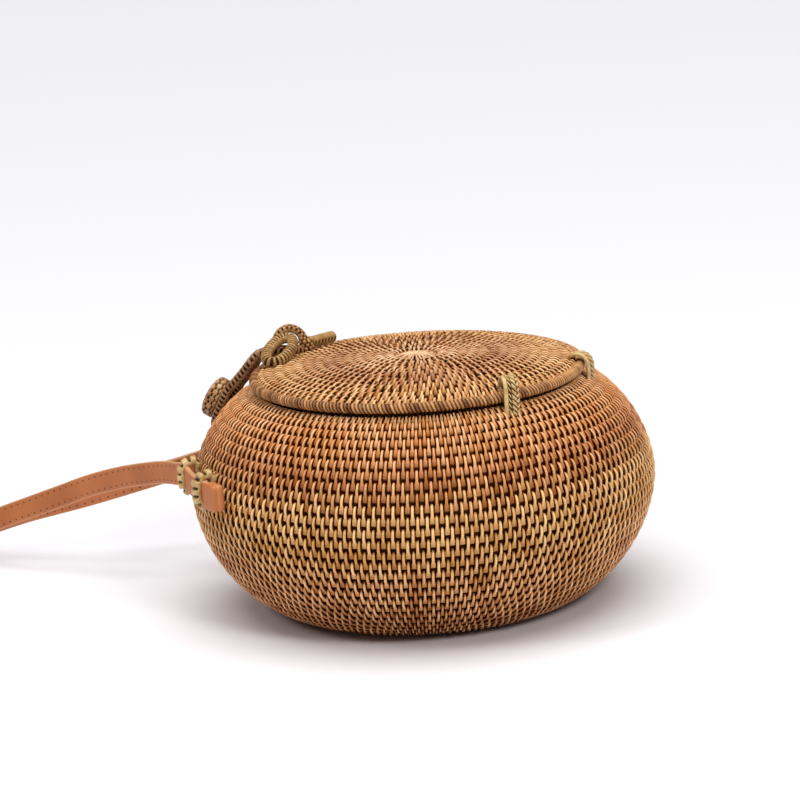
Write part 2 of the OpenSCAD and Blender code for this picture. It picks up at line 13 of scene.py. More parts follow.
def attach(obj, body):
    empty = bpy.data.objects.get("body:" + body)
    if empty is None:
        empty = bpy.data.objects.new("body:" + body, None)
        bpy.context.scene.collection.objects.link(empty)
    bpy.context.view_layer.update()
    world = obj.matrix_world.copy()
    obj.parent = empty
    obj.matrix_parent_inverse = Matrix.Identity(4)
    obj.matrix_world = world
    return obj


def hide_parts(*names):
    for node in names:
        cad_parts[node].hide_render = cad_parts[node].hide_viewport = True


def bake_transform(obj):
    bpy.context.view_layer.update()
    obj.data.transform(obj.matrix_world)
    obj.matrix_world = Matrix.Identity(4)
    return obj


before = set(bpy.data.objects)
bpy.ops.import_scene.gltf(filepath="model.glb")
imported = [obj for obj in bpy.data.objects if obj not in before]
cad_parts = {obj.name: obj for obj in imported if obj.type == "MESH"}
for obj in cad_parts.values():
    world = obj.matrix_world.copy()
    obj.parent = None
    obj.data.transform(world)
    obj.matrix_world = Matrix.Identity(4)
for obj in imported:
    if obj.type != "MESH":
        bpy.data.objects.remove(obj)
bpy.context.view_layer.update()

MM = 0.001
PI = math.pi
z_dir = np.array([0, 0, 1])
rng = np.random.default_rng(11)

# Sizes shared with the part, in mm
belly_r, base_r, mouth_r = 100.0, 57.0, 68.0
belly_h, shoulder_h = 52.5, 96.0
wall_t, foot_power, shoulder_power = 4.0, 1.14, 1.18
lid_rod_r, lid_rod_z, lid_rod_half = 70.3, 100.0, 2.2
lid_edge_r, lid_edge_z, lid_rise, lid_t, lid_power = 67.95, 102.3, 4.9, 3.4, 2.8


def lid_top(r):
    """Height of the lid's upper face at a distance from its middle."""
    return lid_edge_z + lid_rise * (1 - (r / lid_edge_r) ** lid_power)


mouth_rod_r, mouth_rod_half = 65.5, 2.2
mouth_rod_z = lid_top(mouth_rod_r) - 7.1
strap_w, strap_t, strap_h, strap_r = 10.0, 2.8, 63.3, 102.5
strap_end_half = 5.3
# Turns from the clasp, in degrees
front_loop_turn, rear_loop_turn, strap_end_turn = 31.5, 46.5, 53.5


def add_object(name, data):
    """Object with the given data, put in the scene."""
    made = bpy.data.objects.new(name, data)
    bpy.context.scene.collection.objects.link(made)
    return made


# Camera

photo_px, px_per_mm = 800, 2.3
sensor_mm = 36.0
look_at = Vector((0, 0, 0.05))


def look_camera():
    """Camera on the photo's line of sight. Its axis goes through the middle of the frame."""
    turn, lift, roll = math.radians(112.0), math.radians(14.784), math.radians(3.555)
    distance = 1.286
    focal_px = px_per_mm * distance / MM
    # The frame's middle, counted from the pixel that shows the point looked at
    aim_px = (photo_px / 2 - 423.93, photo_px / 2 - 481.87)
    right = Vector((math.cos(turn), math.sin(turn), 0))
    back = Vector((math.sin(turn) * math.cos(lift), -math.cos(turn) * math.cos(lift),
                   math.sin(lift)))
    up = back.cross(right)
    across = math.cos(roll) * aim_px[0] - math.sin(roll) * aim_px[1]
    down = math.sin(roll) * aim_px[0] + math.cos(roll) * aim_px[1]
    forward = (-back + right * (across / focal_px) - up * (down / focal_px)).normalized()
    frame_up = right * math.sin(roll) + up * math.cos(roll)
    side = forward.cross(frame_up).normalized()
    frame_up = side.cross(forward)
    data = bpy.data.cameras.new("camera")
    data.sensor_width = sensor_mm
    data.lens = focal_px * sensor_mm / photo_px
    data.clip_end = 20
    camera = add_object("camera", data)
    place = look_at + back * distance
    bpy.context.scene.view_settings.view_transform = "Standard"
    axes = Matrix((side, frame_up, -forward)).transposed().to_4x4()
    camera.matrix_world = Matrix.Translation(place) @ axes
    bpy.context.scene.camera = camera


look_camera()


# Making of meshes

def grid_quads(rows, cols, wrap_rows=False):
    """Quads of a grid of points, counted row by row. The last column joins the first one,
    and the last row the first where asked."""
    i = np.arange(rows if wrap_rows else rows - 1)
    i, j = np.meshgrid(i, np.arange(cols), indexing="ij")
    next_i, next_j = (i + 1) % rows, (j + 1) % cols
    corners = [i * cols + j, next_i * cols + j, next_i * cols + next_j, i * cols + next_j]
    return np.stack(corners, axis=-1).reshape(-1, 4)


def capped_tube(rows, cols):
    """Quads of an open tube and the fans that close its two ends on two extra points."""
    quads = grid_quads(rows, cols)
    j = np.arange(cols)
    first, last, end = rows * cols, rows * cols + 1, (rows - 1) * cols
    tris = np.concatenate([
        np.stack([np.full(cols, first), j, (j + 1) % cols], axis=1),
        np.stack([np.full(cols, last), end + (j + 1) % cols, end + j], axis=1)])
    return quads, tris


def make_piece(name, points, quads, tris=None, uv=None, values=None):
    """Mesh from points in mm. Its faces are turned outwards by the sign of its volume."""
    points = np.asarray(points, float).reshape(-1, 3)
    tris = np.zeros((0, 3), int) if tris is None else np.asarray(tris, int)
    volume = 0.0
    for faces in (quads[:, [0, 1, 2]], quads[:, [0, 2, 3]], tris):
        a, b, c = (points[faces[:, k]] for k in range(3))
        volume += np.einsum("ij,ij->i", a, np.cross(b, c)).sum()
    if volume < 0:
        quads, tris = quads[:, ::-1], tris[:, ::-1]
    mesh = bpy.data.meshes.new(name)
    loops = np.concatenate([quads.ravel(), tris.ravel()]).astype(np.int32)
    sizes = np.concatenate([np.full(len(quads), 4), np.full(len(tris), 3)])
    mesh.vertices.add(len(points))
    mesh.vertices.foreach_set("co", (points * MM).astype(np.float32).ravel())
    mesh.loops.add(len(loops))
    mesh.loops.foreach_set("vertex_index", loops)
    mesh.polygons.add(len(sizes))
    starts = np.concatenate([[0], np.cumsum(sizes)[:-1]]).astype(np.int32)
    mesh.polygons.foreach_set("loop_start", starts)
    mesh.update(calc_edges=True)
    mesh.validate()
    mesh.polygons.foreach_set("use_smooth", np.ones(len(mesh.polygons), bool))
    if uv is not None:
        layer = mesh.uv_layers.new(name="surface")
        layer.data.foreach_set("uv", np.asarray(uv, np.float32).reshape(-1, 2)[loops].ravel())
    for key, value in (values or {}).items():
        layer = mesh.attributes.new(key, "FLOAT", "POINT")
        layer.data.foreach_set("value", np.asarray(value, np.float32).ravel())
    return add_object(name, mesh)


def make_capped(name, points, ends, values, end_value, uv=None, end_uv=((0, 0), (1, 1))):
    """Closed piece: an open tube, given as a grid of points, and two points that its ends
    close on. The values and the map are grids too, with what they are at those two."""
    quads, tris = capped_tube(*points.shape[:2])
    points = np.concatenate([points.reshape(-1, 3), ends])
    values = {key: np.concatenate([grid.ravel(), [end_value] * 2])
              for key, grid in values.items()}
    if uv is not None:
        uv = np.concatenate([uv.reshape(-1, 2), end_uv])
    return make_piece(name, points, quads, tris, uv, values)


def finish_piece(piece, material, body, nodes=()):
    """Gives a piece its material and its body, and lets it stand for its CAD nodes."""
    piece.data.materials.append(material)
    if body:
        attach(piece, body)
    if nodes:
        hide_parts(*nodes)
    return piece


def spin(radius, turn, z):
    """Places on circles round the bag's axis; the turn starts at the clasp."""
    radius, turn, z = np.broadcast_arrays(radius, turn, z)
    return np.stack([radius * np.sin(turn), -radius * np.cos(turn), z], axis=-1)


def directions(turn):
    """Outwards and across at a turn from the clasp."""
    return (np.array([math.sin(turn), -math.cos(turn), 0]),
            np.array([math.cos(turn), math.sin(turn), 0]))


def signed_power(v, power):
    """Power of the size of v, with the sign of v; it turns round sections square."""
    return np.sign(v) * np.abs(v) ** power


def revolve(name, profile, sides):
    """Closed shell: a profile whose two ends lie on the axis, carried round the axis."""
    ring = profile[1:-1]
    turn = np.arange(sides) * 2 * PI / sides
    points = spin(ring[:, :1], turn[None, :], ring[:, 1:]).reshape(-1, 3)
    points = np.concatenate([points, [[0, 0, profile[0, 1]], [0, 0, profile[-1, 1]]]])
    quads, tris = capped_tube(len(ring), sides)
    values = {"tone": np.full(len(points), 0.5), "rise": np.ones(len(points))}
    return make_piece(name, points, quads, tris, None, values)


# The outlines of the wall and of the lid

class Outline:
    """A line (r, z) measured by its length, with its outward normal."""

    def __init__(self, r, z):
        step = np.hypot(np.diff(r), np.diff(z))
        self.s = np.concatenate([[0], np.cumsum(step)])
        self.r, self.z = r, z
        dr, dz = np.gradient(r, self.s), np.gradient(z, self.s)
        size = np.hypot(dr, dz)
        self.nr, self.nz = dz / size, -dr / size
        self.length = self.s[-1]

    def at(self, s, lift=0.0):
        """Point at a length along the line, lifted along the normal."""
        pick = [np.interp(s, self.s, v) for v in (self.r, self.z, self.nr, self.nz)]
        return pick[0] + pick[2] * lift, pick[1] + pick[3] * lift, pick[2], pick[3]


def wall_outline():
    """From the middle of the underside along it, then up two quarters of a round form:
    r and z follow powers of the sine and cosine of one angle."""
    a = np.linspace(0, PI / 2, 240)
    low_r = base_r + (belly_r - base_r) * np.sin(a) ** foot_power
    low_z = belly_h * (1 - np.cos(a) ** foot_power)
    high_r = mouth_r + (belly_r - mouth_r) * np.cos(a) ** shoulder_power
    high_z = belly_h + (shoulder_h - belly_h) * np.sin(a) ** shoulder_power
    flat = np.linspace(0, base_r, 60)[:-1]
    r = np.concatenate([flat, low_r, high_r[1:]])
    z = np.concatenate([flat * 0, low_z, high_z[1:]])
    return Outline(r, z)


# How far the lid's outline goes on over its hoop, and how far it falls there
lid_tuck, lid_tuck_fall = 2.2, 0.9


def lid_outline():
    """A shallow dome that is flatter in the middle, then down over the top of the hoop."""
    r = np.linspace(0, lid_edge_r, 160)
    over = np.linspace(0, 1, 12)[1:]
    line = Outline(np.concatenate([r, lid_edge_r + lid_tuck * over]),
                   np.concatenate([lid_top(r), lid_edge_z - lid_tuck_fall * over ** 2]))
    line.nr, line.nz = -line.nr, -line.nz
    return line


wall_line, lid_line = wall_outline(), lid_outline()


# Materials

def fill_inputs(tree, node, inputs):
    """Gives each named input of a node its value, or a link from another node."""
    for key, given in inputs.items():
        if isinstance(given, bpy.types.NodeSocket):
            tree.links.new(given, node.inputs[key])
        else:
            node.inputs[key].default_value = given


def add_node(tree, kind, inputs, **settings):
    """Shader node with its settings, then its inputs."""
    node = tree.nodes.new("ShaderNode" + kind)
    for key, value in settings.items():
        setattr(node, key, value)
    fill_inputs(tree, node, inputs)
    return node


def maths(tree, operation, *terms, clamp=False):
    """Result of a math node. A term is a number or the output of another node."""
    node = add_node(tree, "Math", dict(enumerate(terms)), operation=operation,
                    use_clamp=clamp)
    return node.outputs[0]


def ranged(tree, value, start, end, at_start, at_end):
    """Carries a value over from one range to another, and holds it at the two ends."""
    node = add_node(tree, "MapRange", {"Value": value, "From Min": start, "From Max": end,
                                       "To Min": at_start, "To Max": at_end})
    return node.outputs[0]


def mix_colours(tree, share, first, second, blend="MIX"):
    """Colour between two, or their product; 6 and 7 are the node's two colour inputs."""
    node = add_node(tree, "Mix", {"Factor": share, 6: first, 7: second}, data_type="RGBA",
                    blend_type=blend)
    return node.outputs[2]


def colour_ramp(tree, value, marks):
    """Colour ramp through marks, each a place from 0 to 1 and its colour."""
    node = add_node(tree, "ValToRGB", {"Fac": value})
    elements = node.color_ramp.elements
    elements.remove(elements[-1])
    for k, (place, colour) in enumerate(marks):
        element = elements[0] if k == 0 else elements.new(place)
        element.position = place
        element.color = (*colour, 1)
    return node.outputs["Color"]


def attribute(tree, name):
    """Value of one of the mesh's own attributes."""
    return add_node(tree, "Attribute", {}, attribute_name=name).outputs["Fac"]


def noise(tree, place, scale, detail):
    """Noise at a place, from 0 to 1."""
    node = add_node(tree, "TexNoise", {"Vector": place, "Scale": scale, "Detail": detail})
    return node.outputs["Fac"]


def new_material(name):
    """Empty material, its node tree and its shader."""
    material = bpy.data.materials.new(name)
    material.use_nodes = True
    tree = material.node_tree
    return material, tree, tree.nodes["Principled BSDF"]


def add_bump(tree, shader, height, depth, strength):
    """Bump of a depth in metres on the shader's normal."""
    bump = add_node(tree, "Bump", {"Height": height, "Distance": depth,
                                   "Strength": strength})
    fill_inputs(tree, shader, {"Normal": bump.outputs["Normal"]})


def grain_group():
    """Cane grain: fine fibres along the piece's map, slow blotches on the object, and painted
    shade, darker and redder, where the strand dips. Puts out a colour, a roughness, a height and
    a coat."""
    group = bpy.data.node_groups.new("cane_grain", "ShaderNodeTree")
    for way, kind, keys in (("INPUT", "Color", ("Light", "Deep")),
                            ("INPUT", "Float", ("Tone", "Rise", "Shade")),
                            ("OUTPUT", "Color", ("Color",)),
                            ("OUTPUT", "Float", ("Roughness", "Height", "Coat"))):
        for key in keys:
            group.interface.new_socket(name=key, in_out=way, socket_type="NodeSocket" + kind)
    given = group.nodes.new("NodeGroupInput").outputs
    place = add_node(group, "TexCoord", {}).outputs
    stretch = add_node(group, "Mapping", {"Vector": place["UV"], "Scale": (9, 0.7, 1)})
    fibre = noise(group, stretch.outputs[0], 1.0, 3)
    blotch = noise(group, place["Object"], 55, 2)
    # The mix of the two colours: tone of the strand, fibres and blotches
    fine = maths(group, "SUBTRACT", fibre, 0.5)
    share = maths(group, "MULTIPLY_ADD", 0.5, fine, given["Tone"])
    share = maths(group, "MULTIPLY_ADD", blotch, 0.7, share)
    share = maths(group, "SUBTRACT", share, 0.35, clamp=True)
    colour = mix_colours(group, share, given["Deep"], given["Light"])
    # Painted shade: darker and redder where the strand dips under its neighbours
    shadow = ranged(group, given["Rise"], 0, 0.8, 0.14, 1)
    power = ranged(group, given["Rise"], 0, 0.8, 1.5, 1)
    redder = add_node(group, "Gamma", {"Color": colour, "Gamma": power}).outputs[0]
    fill_inputs(group, group.nodes.new("NodeGroupOutput"), {
        "Color": mix_colours(group, given["Shade"], redder, shadow, "MULTIPLY"),
        "Roughness": ranged(group, fibre, 0, 1, 0.3, 0.52),
        "Height": fibre,
        "Coat": ranged(group, given["Rise"], 0.55, 1, 0, 0.8)})
    return group


cane_grain = grain_group()


def cane_material(name, light=None, deep=None, bands=None, shade=1.0, glossy=True):
    """Split cane: the grain group between two colours, or between those of the bands at
    the attribute 'row'."""
    material, tree, shader = new_material(name)
    if bands:
        row = attribute(tree, "row")
        light, deep = (colour_ramp(tree, row, [(band[0], band[k]) for band in bands])
                       for k in (1, 2))
    else:
        light, deep = (*light, 1), (*deep, 1)
    grain = add_node(tree, "Group", {}, node_tree=cane_grain)
    fill_inputs(tree, grain, {"Light": light, "Deep": deep, "Shade": shade,
                              "Tone": attribute(tree, "tone"),
                              "Rise": attribute(tree, "rise")})
    fill_inputs(tree, shader, {"Base Color": grain.outputs["Color"],
                               "Roughness": grain.outputs["Roughness"],
                               "Specular IOR Level": 0.12 if glossy else 0,
                               "Coat Roughness": 0.22})
    if glossy:
        fill_inputs(tree, shader, {"Coat Weight": grain.outputs["Coat"]})
    add_bump(tree, shader, grain.outputs["Height"], 0.00008, 0.6)
    return material


# Rows of the wall from the underside (0) to the mouth (1): place, light, deep
wall_bands = [
    (0.0, (0.92, 0.48, 0.21), (0.46, 0.15, 0.035)),
    (0.50, (0.92, 0.49, 0.22), (0.46, 0.16, 0.04)),
    (0.60, (0.98, 0.56, 0.26), (0.54, 0.21, 0.05)),
    (0.69, (1.0, 0.64, 0.29), (0.64, 0.30, 0.075)),
    (0.78, (0.96, 0.57, 0.25), (0.52, 0.21, 0.05)),
    (0.84, (0.86, 0.41, 0.175), (0.40, 0.12, 0.025)),
    (0.91, (1.0, 0.54, 0.25), (0.64, 0.23, 0.055)),
    (1.0, (1.0, 0.60, 0.30), (0.70, 0.28, 0.075)),
]
# Rows of the lid from its middle (0) to its edge (1)
lid_bands = [
    (0.0, (1.0, 0.66, 0.40), (0.70, 0.34, 0.15)),
    (0.3, (0.96, 0.58, 0.31), (0.58, 0.24, 0.08)),
    (0.5, (0.86, 0.46, 0.23), (0.42, 0.15, 0.045)),
    (0.75, (1.0, 0.60, 0.28), (0.58, 0.24, 0.06)),
    (1.0, (0.98, 0.60, 0.28), (0.54, 0.22, 0.06)),
]
wall_cane = cane_material("wall_cane", bands=wall_bands)
lid_cane = cane_material("lid_cane", bands=lid_bands)
# Painted shade: the core is seen only down in the gaps, so its colours are near black and it gets
# no further shading
shaded_core_cane = cane_material("shaded_core_cane", (0.10, 0.024, 0.004), (0.03, 0.006, 0.001), shade=0.0,
                          glossy=False)
rim_cane = cane_material("rim_cane", (0.68, 0.36, 0.14), (0.20, 0.065, 0.014))
# Painted shade: the mouth's hoop lies in the shadow under the lid's rim, so its colours are dark
shaded_mouth_cane = cane_material("shaded_mouth_cane", (0.20, 0.07, 0.015), (0.06, 0.015, 0.003))
olive_cane = cane_material("olive_cane", (0.82, 0.60, 0.28), (0.40, 0.22, 0.06))
ring_cane = cane_material("ring_cane", (0.60, 0.37, 0.14), (0.26, 0.12, 0.03))
knot_cane = cane_material("knot_cane", (0.66, 0.37, 0.15), (0.28, 0.11, 0.03))
dark_cane = cane_material("dark_cane", (0.42, 0.21, 0.09), (0.15, 0.055, 0.015))
button_cane = cane_material("button_cane", (0.56, 0.33, 0.14), (0.24, 0.10, 0.03))


def leather_material():
    """Tan leather: pores and slow mottling, pale worn edges, a dark line of stitch holes
    near each edge, all on the strap's own map (u along in cm, v across)."""
    material, tree, shader = new_material("tan_leather")
    place = add_node(tree, "TexCoord", {}).outputs
    mottle = noise(tree, place["Object"], 60, 4)
    tan = colour_ramp(tree, mottle, [(0.3, (0.43, 0.125, 0.03)), (0.75, (0.56, 0.18, 0.048))])
    worn = mix_colours(tree, attribute(tree, "rise"), (0.60, 0.30, 0.14, 1), tan)
    # Distance in mm from the nearest stitch hole, in two rows along the strap
    stitch_step, stitch_row, hole_r, hole_rim = 4.0, 0.31, 0.3, 0.55
    chart = add_node(tree, "SeparateXYZ", {0: place["UV"]}).outputs
    step = maths(tree, "FRACT", maths(tree, "MULTIPLY", chart["X"], 10 / stitch_step))
    along = maths(tree, "MULTIPLY", maths(tree, "SUBTRACT", step, 0.5), stitch_step)
    off_middle = maths(tree, "ABSOLUTE", maths(tree, "SUBTRACT", chart["Y"], 0.5))
    off_row = maths(tree, "SUBTRACT", off_middle, stitch_row)
    across = maths(tree, "MULTIPLY", off_row, strap_w)
    both = add_node(tree, "CombineXYZ", {"X": along, "Y": across}).outputs[0]
    distance = add_node(tree, "VectorMath", {0: both}, operation="LENGTH").outputs["Value"]
    hole = ranged(tree, distance, hole_r, hole_rim, 0.12, 1)
    pore = add_node(tree, "TexVoronoi", {"Vector": place["Object"], "Scale": 1400})
    fill_inputs(tree, shader, {"Base Color": mix_colours(tree, 1.0, worn, hole, "MULTIPLY"),
                               "Roughness": ranged(tree, mottle, 0, 1, 0.42, 0.6)})
    add_bump(tree, shader, pore.outputs["Distance"], 0.0001, 0.25)
    return material


def cotton_material():
    """Plain cotton: two crossed waves for the threads, a soft mottle for the colour."""
    material, tree, shader = new_material("cotton")
    place = add_node(tree, "TexCoord", {}).outputs["Object"]
    colour = colour_ramp(tree, noise(tree, place, 40, 2),
                         [(0, (0.62, 0.54, 0.42)), (1, (0.80, 0.74, 0.62))])
    threads = [add_node(tree, "TexWave", {"Vector": place, "Scale": 420},
                        bands_direction=direction).outputs["Fac"] for direction in "XZ"]
    fill_inputs(tree, shader, {"Base Color": colour, "Roughness": 0.85})
    add_bump(tree, shader, maths(tree, "MAXIMUM", *threads), 0.0002, 0.5)
    return material


leather, cotton = leather_material(), cotton_material()


# The strap

def smooth_route(points, steps):
    """Catmull-Rom curve: each stretch is a cubic through its two points whose slopes are
    half the way between the points before and after."""
    p = np.asarray(points, float)
    p = np.concatenate([[2 * p[0] - p[1]], p, [2 * p[-1] - p[-2]]])
    a, b, c, d = (p[k:len(p) - 3 + k, None, :] for k in range(4))
    t = (np.arange(steps) / steps)[None, :, None]
    curve = 0.5 * (2 * b + (c - a) * t + (2 * a - 5 * b + 4 * c - d) * t ** 2
                   + (3 * b - a - 3 * c + d) * t ** 3)
    return np.concatenate([curve.reshape(-1, 3), p[-2:-1]])


def path_frame(path, up, closed=False):
    """Side and up direction of every point of a path."""
    if closed:
        tangent = np.roll(path, -1, axis=0) - np.roll(path, 1, axis=0)
    else:
        tangent = np.gradient(path, axis=0)
    tangent /= np.linalg.norm(tangent, axis=1, keepdims=True)
    side = np.cross(np.broadcast_to(up, path.shape), tangent)
    side /= np.linalg.norm(side, axis=1, keepdims=True)
    return side, np.cross(tangent, side)


def lengths_along(path):
    """Length from the start of a path to each of its points."""
    return np.concatenate([[0], np.cumsum(np.linalg.norm(np.diff(path, axis=0), axis=1))])


def sweep(path, side, up, x, y):
    """Grid of points: the section (x, y) at every point of a path, on its two directions."""
    return path[:, None] + side[:, None] * x[..., None] + up[:, None] * y[..., None]


right_route = [
    [45, -96, 62], [38, -105, 60.4], [30, -117, 57.4], [20, -137, 52], [14, -156, 46],
    [9, -173, 39.4], [5, -193, 31.8], [2, -211, 25], [-1, -230, 17.5], [-4, -249, 10],
    [-6, -268, 6]]
left_route = [
    [-48, -95, 60.6], [-42, -106, 54], [-36, -118, 48], [-30, -128, 45], [-22, -139, 42.6],
    [-17, -153, 38.8], [-14, -171, 33.6], [-12.5, -188, 29], [-12, -206, 24],
    [-12, -222, 18.6], [-12, -239, 12.4], [-12, -256, 7.4], [-12, -272, 5.4]]
coil_entry, coil_step, coil_r = np.array([-12.0, -290.0]), 5.0, 54.0


def coil_route():
    """Two runs wind in side by side on a falling radius, and two half rings of half the
    inner radius join them."""
    mid = coil_entry + [coil_r, 0]
    bend = coil_r / 2 - coil_step

    def arc(shift, radius, turn):
        turn = np.radians(turn)
        return mid + np.stack([shift + radius * np.cos(turn), radius * np.sin(turn)], 1)

    turn, back = np.arange(0, 361, 15.0), np.arange(360, 179, -15.0)
    half = np.arange(18, 181, 18.0)
    flat = np.concatenate([
        arc(0, coil_r - 2 * coil_step * turn / 360, 180 + turn),
        arc(-bend, bend, 180 + half),
        arc(bend, bend, 180 - half[:-1]),
        arc(0, coil_r - 2 * coil_step * back / 360, back)])
    return np.column_stack([flat, np.full(len(flat), strap_w / 2)])


def strap_path():
    """From the left folded end through its loops, down to the coil, and back up to the
    right folded end."""
    end_turn = strap_end_turn - math.degrees(strap_end_half / strap_r)
    held = np.radians(np.linspace(end_turn, front_loop_turn - 2, 6))
    left = np.concatenate([spin(strap_r, -held, strap_h), left_route])
    right = np.concatenate([spin(strap_r, held, strap_h), right_route])
    return smooth_route(np.concatenate([left, coil_route(), right[::-1]]), 6)


def make_strap():
    """Flat band with rounded corners along the strap's path, worn pale at its edges."""
    path = strap_path()
    side, up = path_frame(path, z_dir)
    cols, worn_w = 28, 0.7
    a = (np.arange(cols) + 0.5) * 2 * PI / cols
    x = signed_power(np.cos(a), 0.32) * strap_t / 2
    y = signed_power(np.sin(a), 0.55) * strap_w / 2
    along = lengths_along(path)
    uv = np.stack(np.broadcast_arrays(along[:, None] / 10, y / strap_w + 0.5), -1)
    rise = np.tile(np.clip((strap_w / 2 - np.abs(y)) / worn_w, 0, 1), len(path))
    strap = make_capped("strap", sweep(path, side, up, x, y), path[[0, -1]], {"rise": rise},
                        1, uv, [[0, 0.5], [along[-1] / 10, 0.5]])
    finish_piece(strap, leather, "bowl",
                 ["strap_run_left", "strap_coil", "strap_run_right"])
    return strap, path, along[-1]


strap, strap_line, strap_length = make_strap()


# Half thickness, length and height of a folded end; its middle's distance from the bag's
# axis and its way on past its turn
fold_half_t, fold_half_l, fold_half_h = 2.8, 5.0, 5.8
fold_r, fold_shift = 103.1, 0.3


def make_strap_end(name, side):
    """Folded end of the strap: a super-ellipsoid, squarer than an egg, with a groove
    between its two layers."""
    rows, cols = 40, 48
    lat = np.linspace(-PI / 2, PI / 2, rows + 2)[1:-1, None]
    lon = (np.arange(cols) * 2 * PI / cols)[None, :]
    out = signed_power(np.cos(lat), 0.3) * signed_power(np.cos(lon), 0.35)
    length = signed_power(np.cos(lat), 0.3) * signed_power(np.sin(lon), 0.25)
    high = signed_power(np.sin(lat), 0.3) * np.ones_like(lon)
    groove = 1 - 0.08 * np.exp(-(out / 0.12) ** 2)
    local = np.stack([out * fold_half_t, fold_shift + length * fold_half_l * groove,
                      high * fold_half_h * groove], -1)
    ends = np.array([[0, fold_shift, -fold_half_h], [0, fold_shift, fold_half_h]])
    away, along = directions(math.radians(side * strap_end_turn))
    points, ends = (strap_h * z_dir + away * fold_r + part[..., :1] * away
                    + part[..., 1:2] * along + part[..., 2:] * z_dir for part in (local, ends))
    rise = np.clip(1 - 0.6 * np.exp(-(np.abs(out) / 0.08) ** 2), 0, 1)
    piece = make_capped(name + "_fold", points, ends, {"rise": rise}, 1)
    return finish_piece(piece, leather, "bowl", [name])


strap_ends = [make_strap_end("strap_end_right", 1), make_strap_end("strap_end_left", -1)]


# The woven wall, underside and lid

# Each row: share of the strand's way, share of its width, height of its middle over the
# outline and half thickness in mm. A strand comes out narrow and round, then turns wide
# and flat on the next row and dips under it.
strand_shape = np.array([
    [0.0, 0.22, -1.6, 0.35], [0.03, 0.27, -1.0, 0.5], [0.11, 0.31, -0.45, 0.6],
    [0.22, 0.32, -0.12, 0.6], [0.36, 0.32, -0.02, 0.6], [0.47, 0.31, -0.3, 0.58],
    [0.54, 0.38, -0.62, 0.5], [0.64, 0.60, -0.8, 0.42], [0.83, 0.66, -0.95, 0.42],
    [0.885, 0.54, -1.9, 0.3]])


def make_weave(name, line, strands, material, body, node):
    """One piece of many strands, which stands for a part of the CAD node. Each follows the
    outline from 'start' over the length 'way', with a six-sided section: across the
    surface and along its normal."""
    turn, start, way, space, lean, tone, row = strands
    share, wide, lift, thick = strand_shape.T
    s = start[:, None] + way[:, None] * share[None, :]
    r, z, nr, nz = line.at(np.clip(s, 0, line.length), np.broadcast_to(lift, s.shape))
    angle = turn[:, None] + lean[:, None] * share[None, :]
    centre = spin(r, angle, z)
    across = np.stack([np.cos(angle), np.sin(angle), np.zeros_like(angle)], -1)
    normal = spin(nr, angle, nz)
    a = np.arange(6) * PI / 3
    half = (space[:, None] * wide[None, :] / 2)[..., None, None]
    flat_cos = signed_power(np.cos(a), 0.6)
    points = (centre[:, :, None] + across[:, :, None] * half * flat_cos[:, None]
              + normal[:, :, None] * thick[None, :, None, None] * np.sin(a)[:, None])
    count, rings = s.shape
    quads = grid_quads(rings, 6)
    first_cap = np.array([[0, 1, 2, 3], [0, 3, 4, 5]])
    last_cap = (rings - 1) * 6 + first_cap[:, ::-1]
    one = np.concatenate([quads[:, ::-1], first_cap, last_cap])
    quads = (one[None] + (np.arange(count) * rings * 6)[:, None, None]).reshape(-1, 4)
    shape = (count, rings, 6)
    u = np.broadcast_to((np.cos(a) * 0.5 + 0.5), shape) + tone[:, None, None] * 7
    v = np.broadcast_to(share[None, :, None], shape) + tone[:, None, None] * 13
    # Painted light and shade: lighter on top, darker at its two edges and where the strand dips
    rise = (lift[None, :, None] + 1.7) / 1.5 * (0.22 + 0.83 * np.maximum(np.sin(a), 0) ** 0.5)
    values = {key: np.broadcast_to(grid, shape) for key, grid in (
        ("tone", tone[:, None, None]), ("rise", np.clip(rise, 0, 1)),
        ("row", row[:, None, None]))}
    piece = make_piece(name, points, quads, None, np.stack([u, v], -1), values)
    finish_piece(piece, material, body, [node])


# How much rows and strands differ: the tone of a row, the tone of a strand, its turn as a
# share of its space, its start in mm and its place in the colour bands as a share of a row
row_spread, tone_spread, turn_spread, start_spread, place_spread = 0.13, 0.23, 0.03, 0.05, 0.12


def weave_rows(line, first, last, pitch, start, counts, outward, lean):
    """The strands of rows first to last-1. Row k has counts[k] strands, turned by half a
    space from the row before; each strand lies over its own row and the next one."""
    rows = []
    for k in range(first, last):
        n = int(counts[min(k, len(counts) - 1)])
        sign = -1 if outward else 1
        turn = (np.arange(n) + 0.5 * (k % 2) + 0.5 * sign * lean * k) * 2 * PI / n
        top = start + (k + 1) * pitch if outward else start + k * pitch
        top = min(top, line.length)
        room = top - start - (k - 1) * pitch if outward else line.length - top
        mid_r = line.at(np.clip(top + sign * pitch, 0, line.length))[0]
        space = 2 * PI * mid_r / n
        row_tone = 0.5 + row_spread * rng.standard_normal()
        tone = np.clip(row_tone + tone_spread * rng.standard_normal(n), 0.05, 0.95)
        turn = turn + rng.normal(0, turn_spread, n) * space / max(mid_r, 1)
        begin = top + rng.normal(0, start_spread, n)
        place = top + place_spread * pitch * rng.standard_normal(n)
        place = np.clip(place / line.length, 0, 1)
        rows.append([turn, begin, np.full(n, sign * min(2 * pitch, room)),
                     space * rng.uniform(0.94, 1.06, n),
                     np.full(n, lean * space / max(mid_r, 1)), tone, place])
    return [np.concatenate(values) for values in zip(*rows)]


# The wall keeps its number of strands; the underside and the lid gain strands every two
# rows, so that the spaces between them stay about the same, in mm
wall_rows, base_rows, lid_rows = 27, 13, 16
wall_strands, base_space, lid_space = 156, 4.0, 3.7
wall_pitch, base_pitch = (wall_line.length - base_r) / wall_rows, base_r / base_rows
lid_pitch = lid_line.length / lid_rows
# Lean of the strands, in spaces
wall_lean, lid_lean = -0.08, -0.3


def flat_counts(rows, pitch, space):
    """Number of strands of each row of a flat part, even, for about the given space."""
    return 2 * np.round(PI * pitch * (np.arange(rows) // 2 * 2 + 2) / space).astype(int)


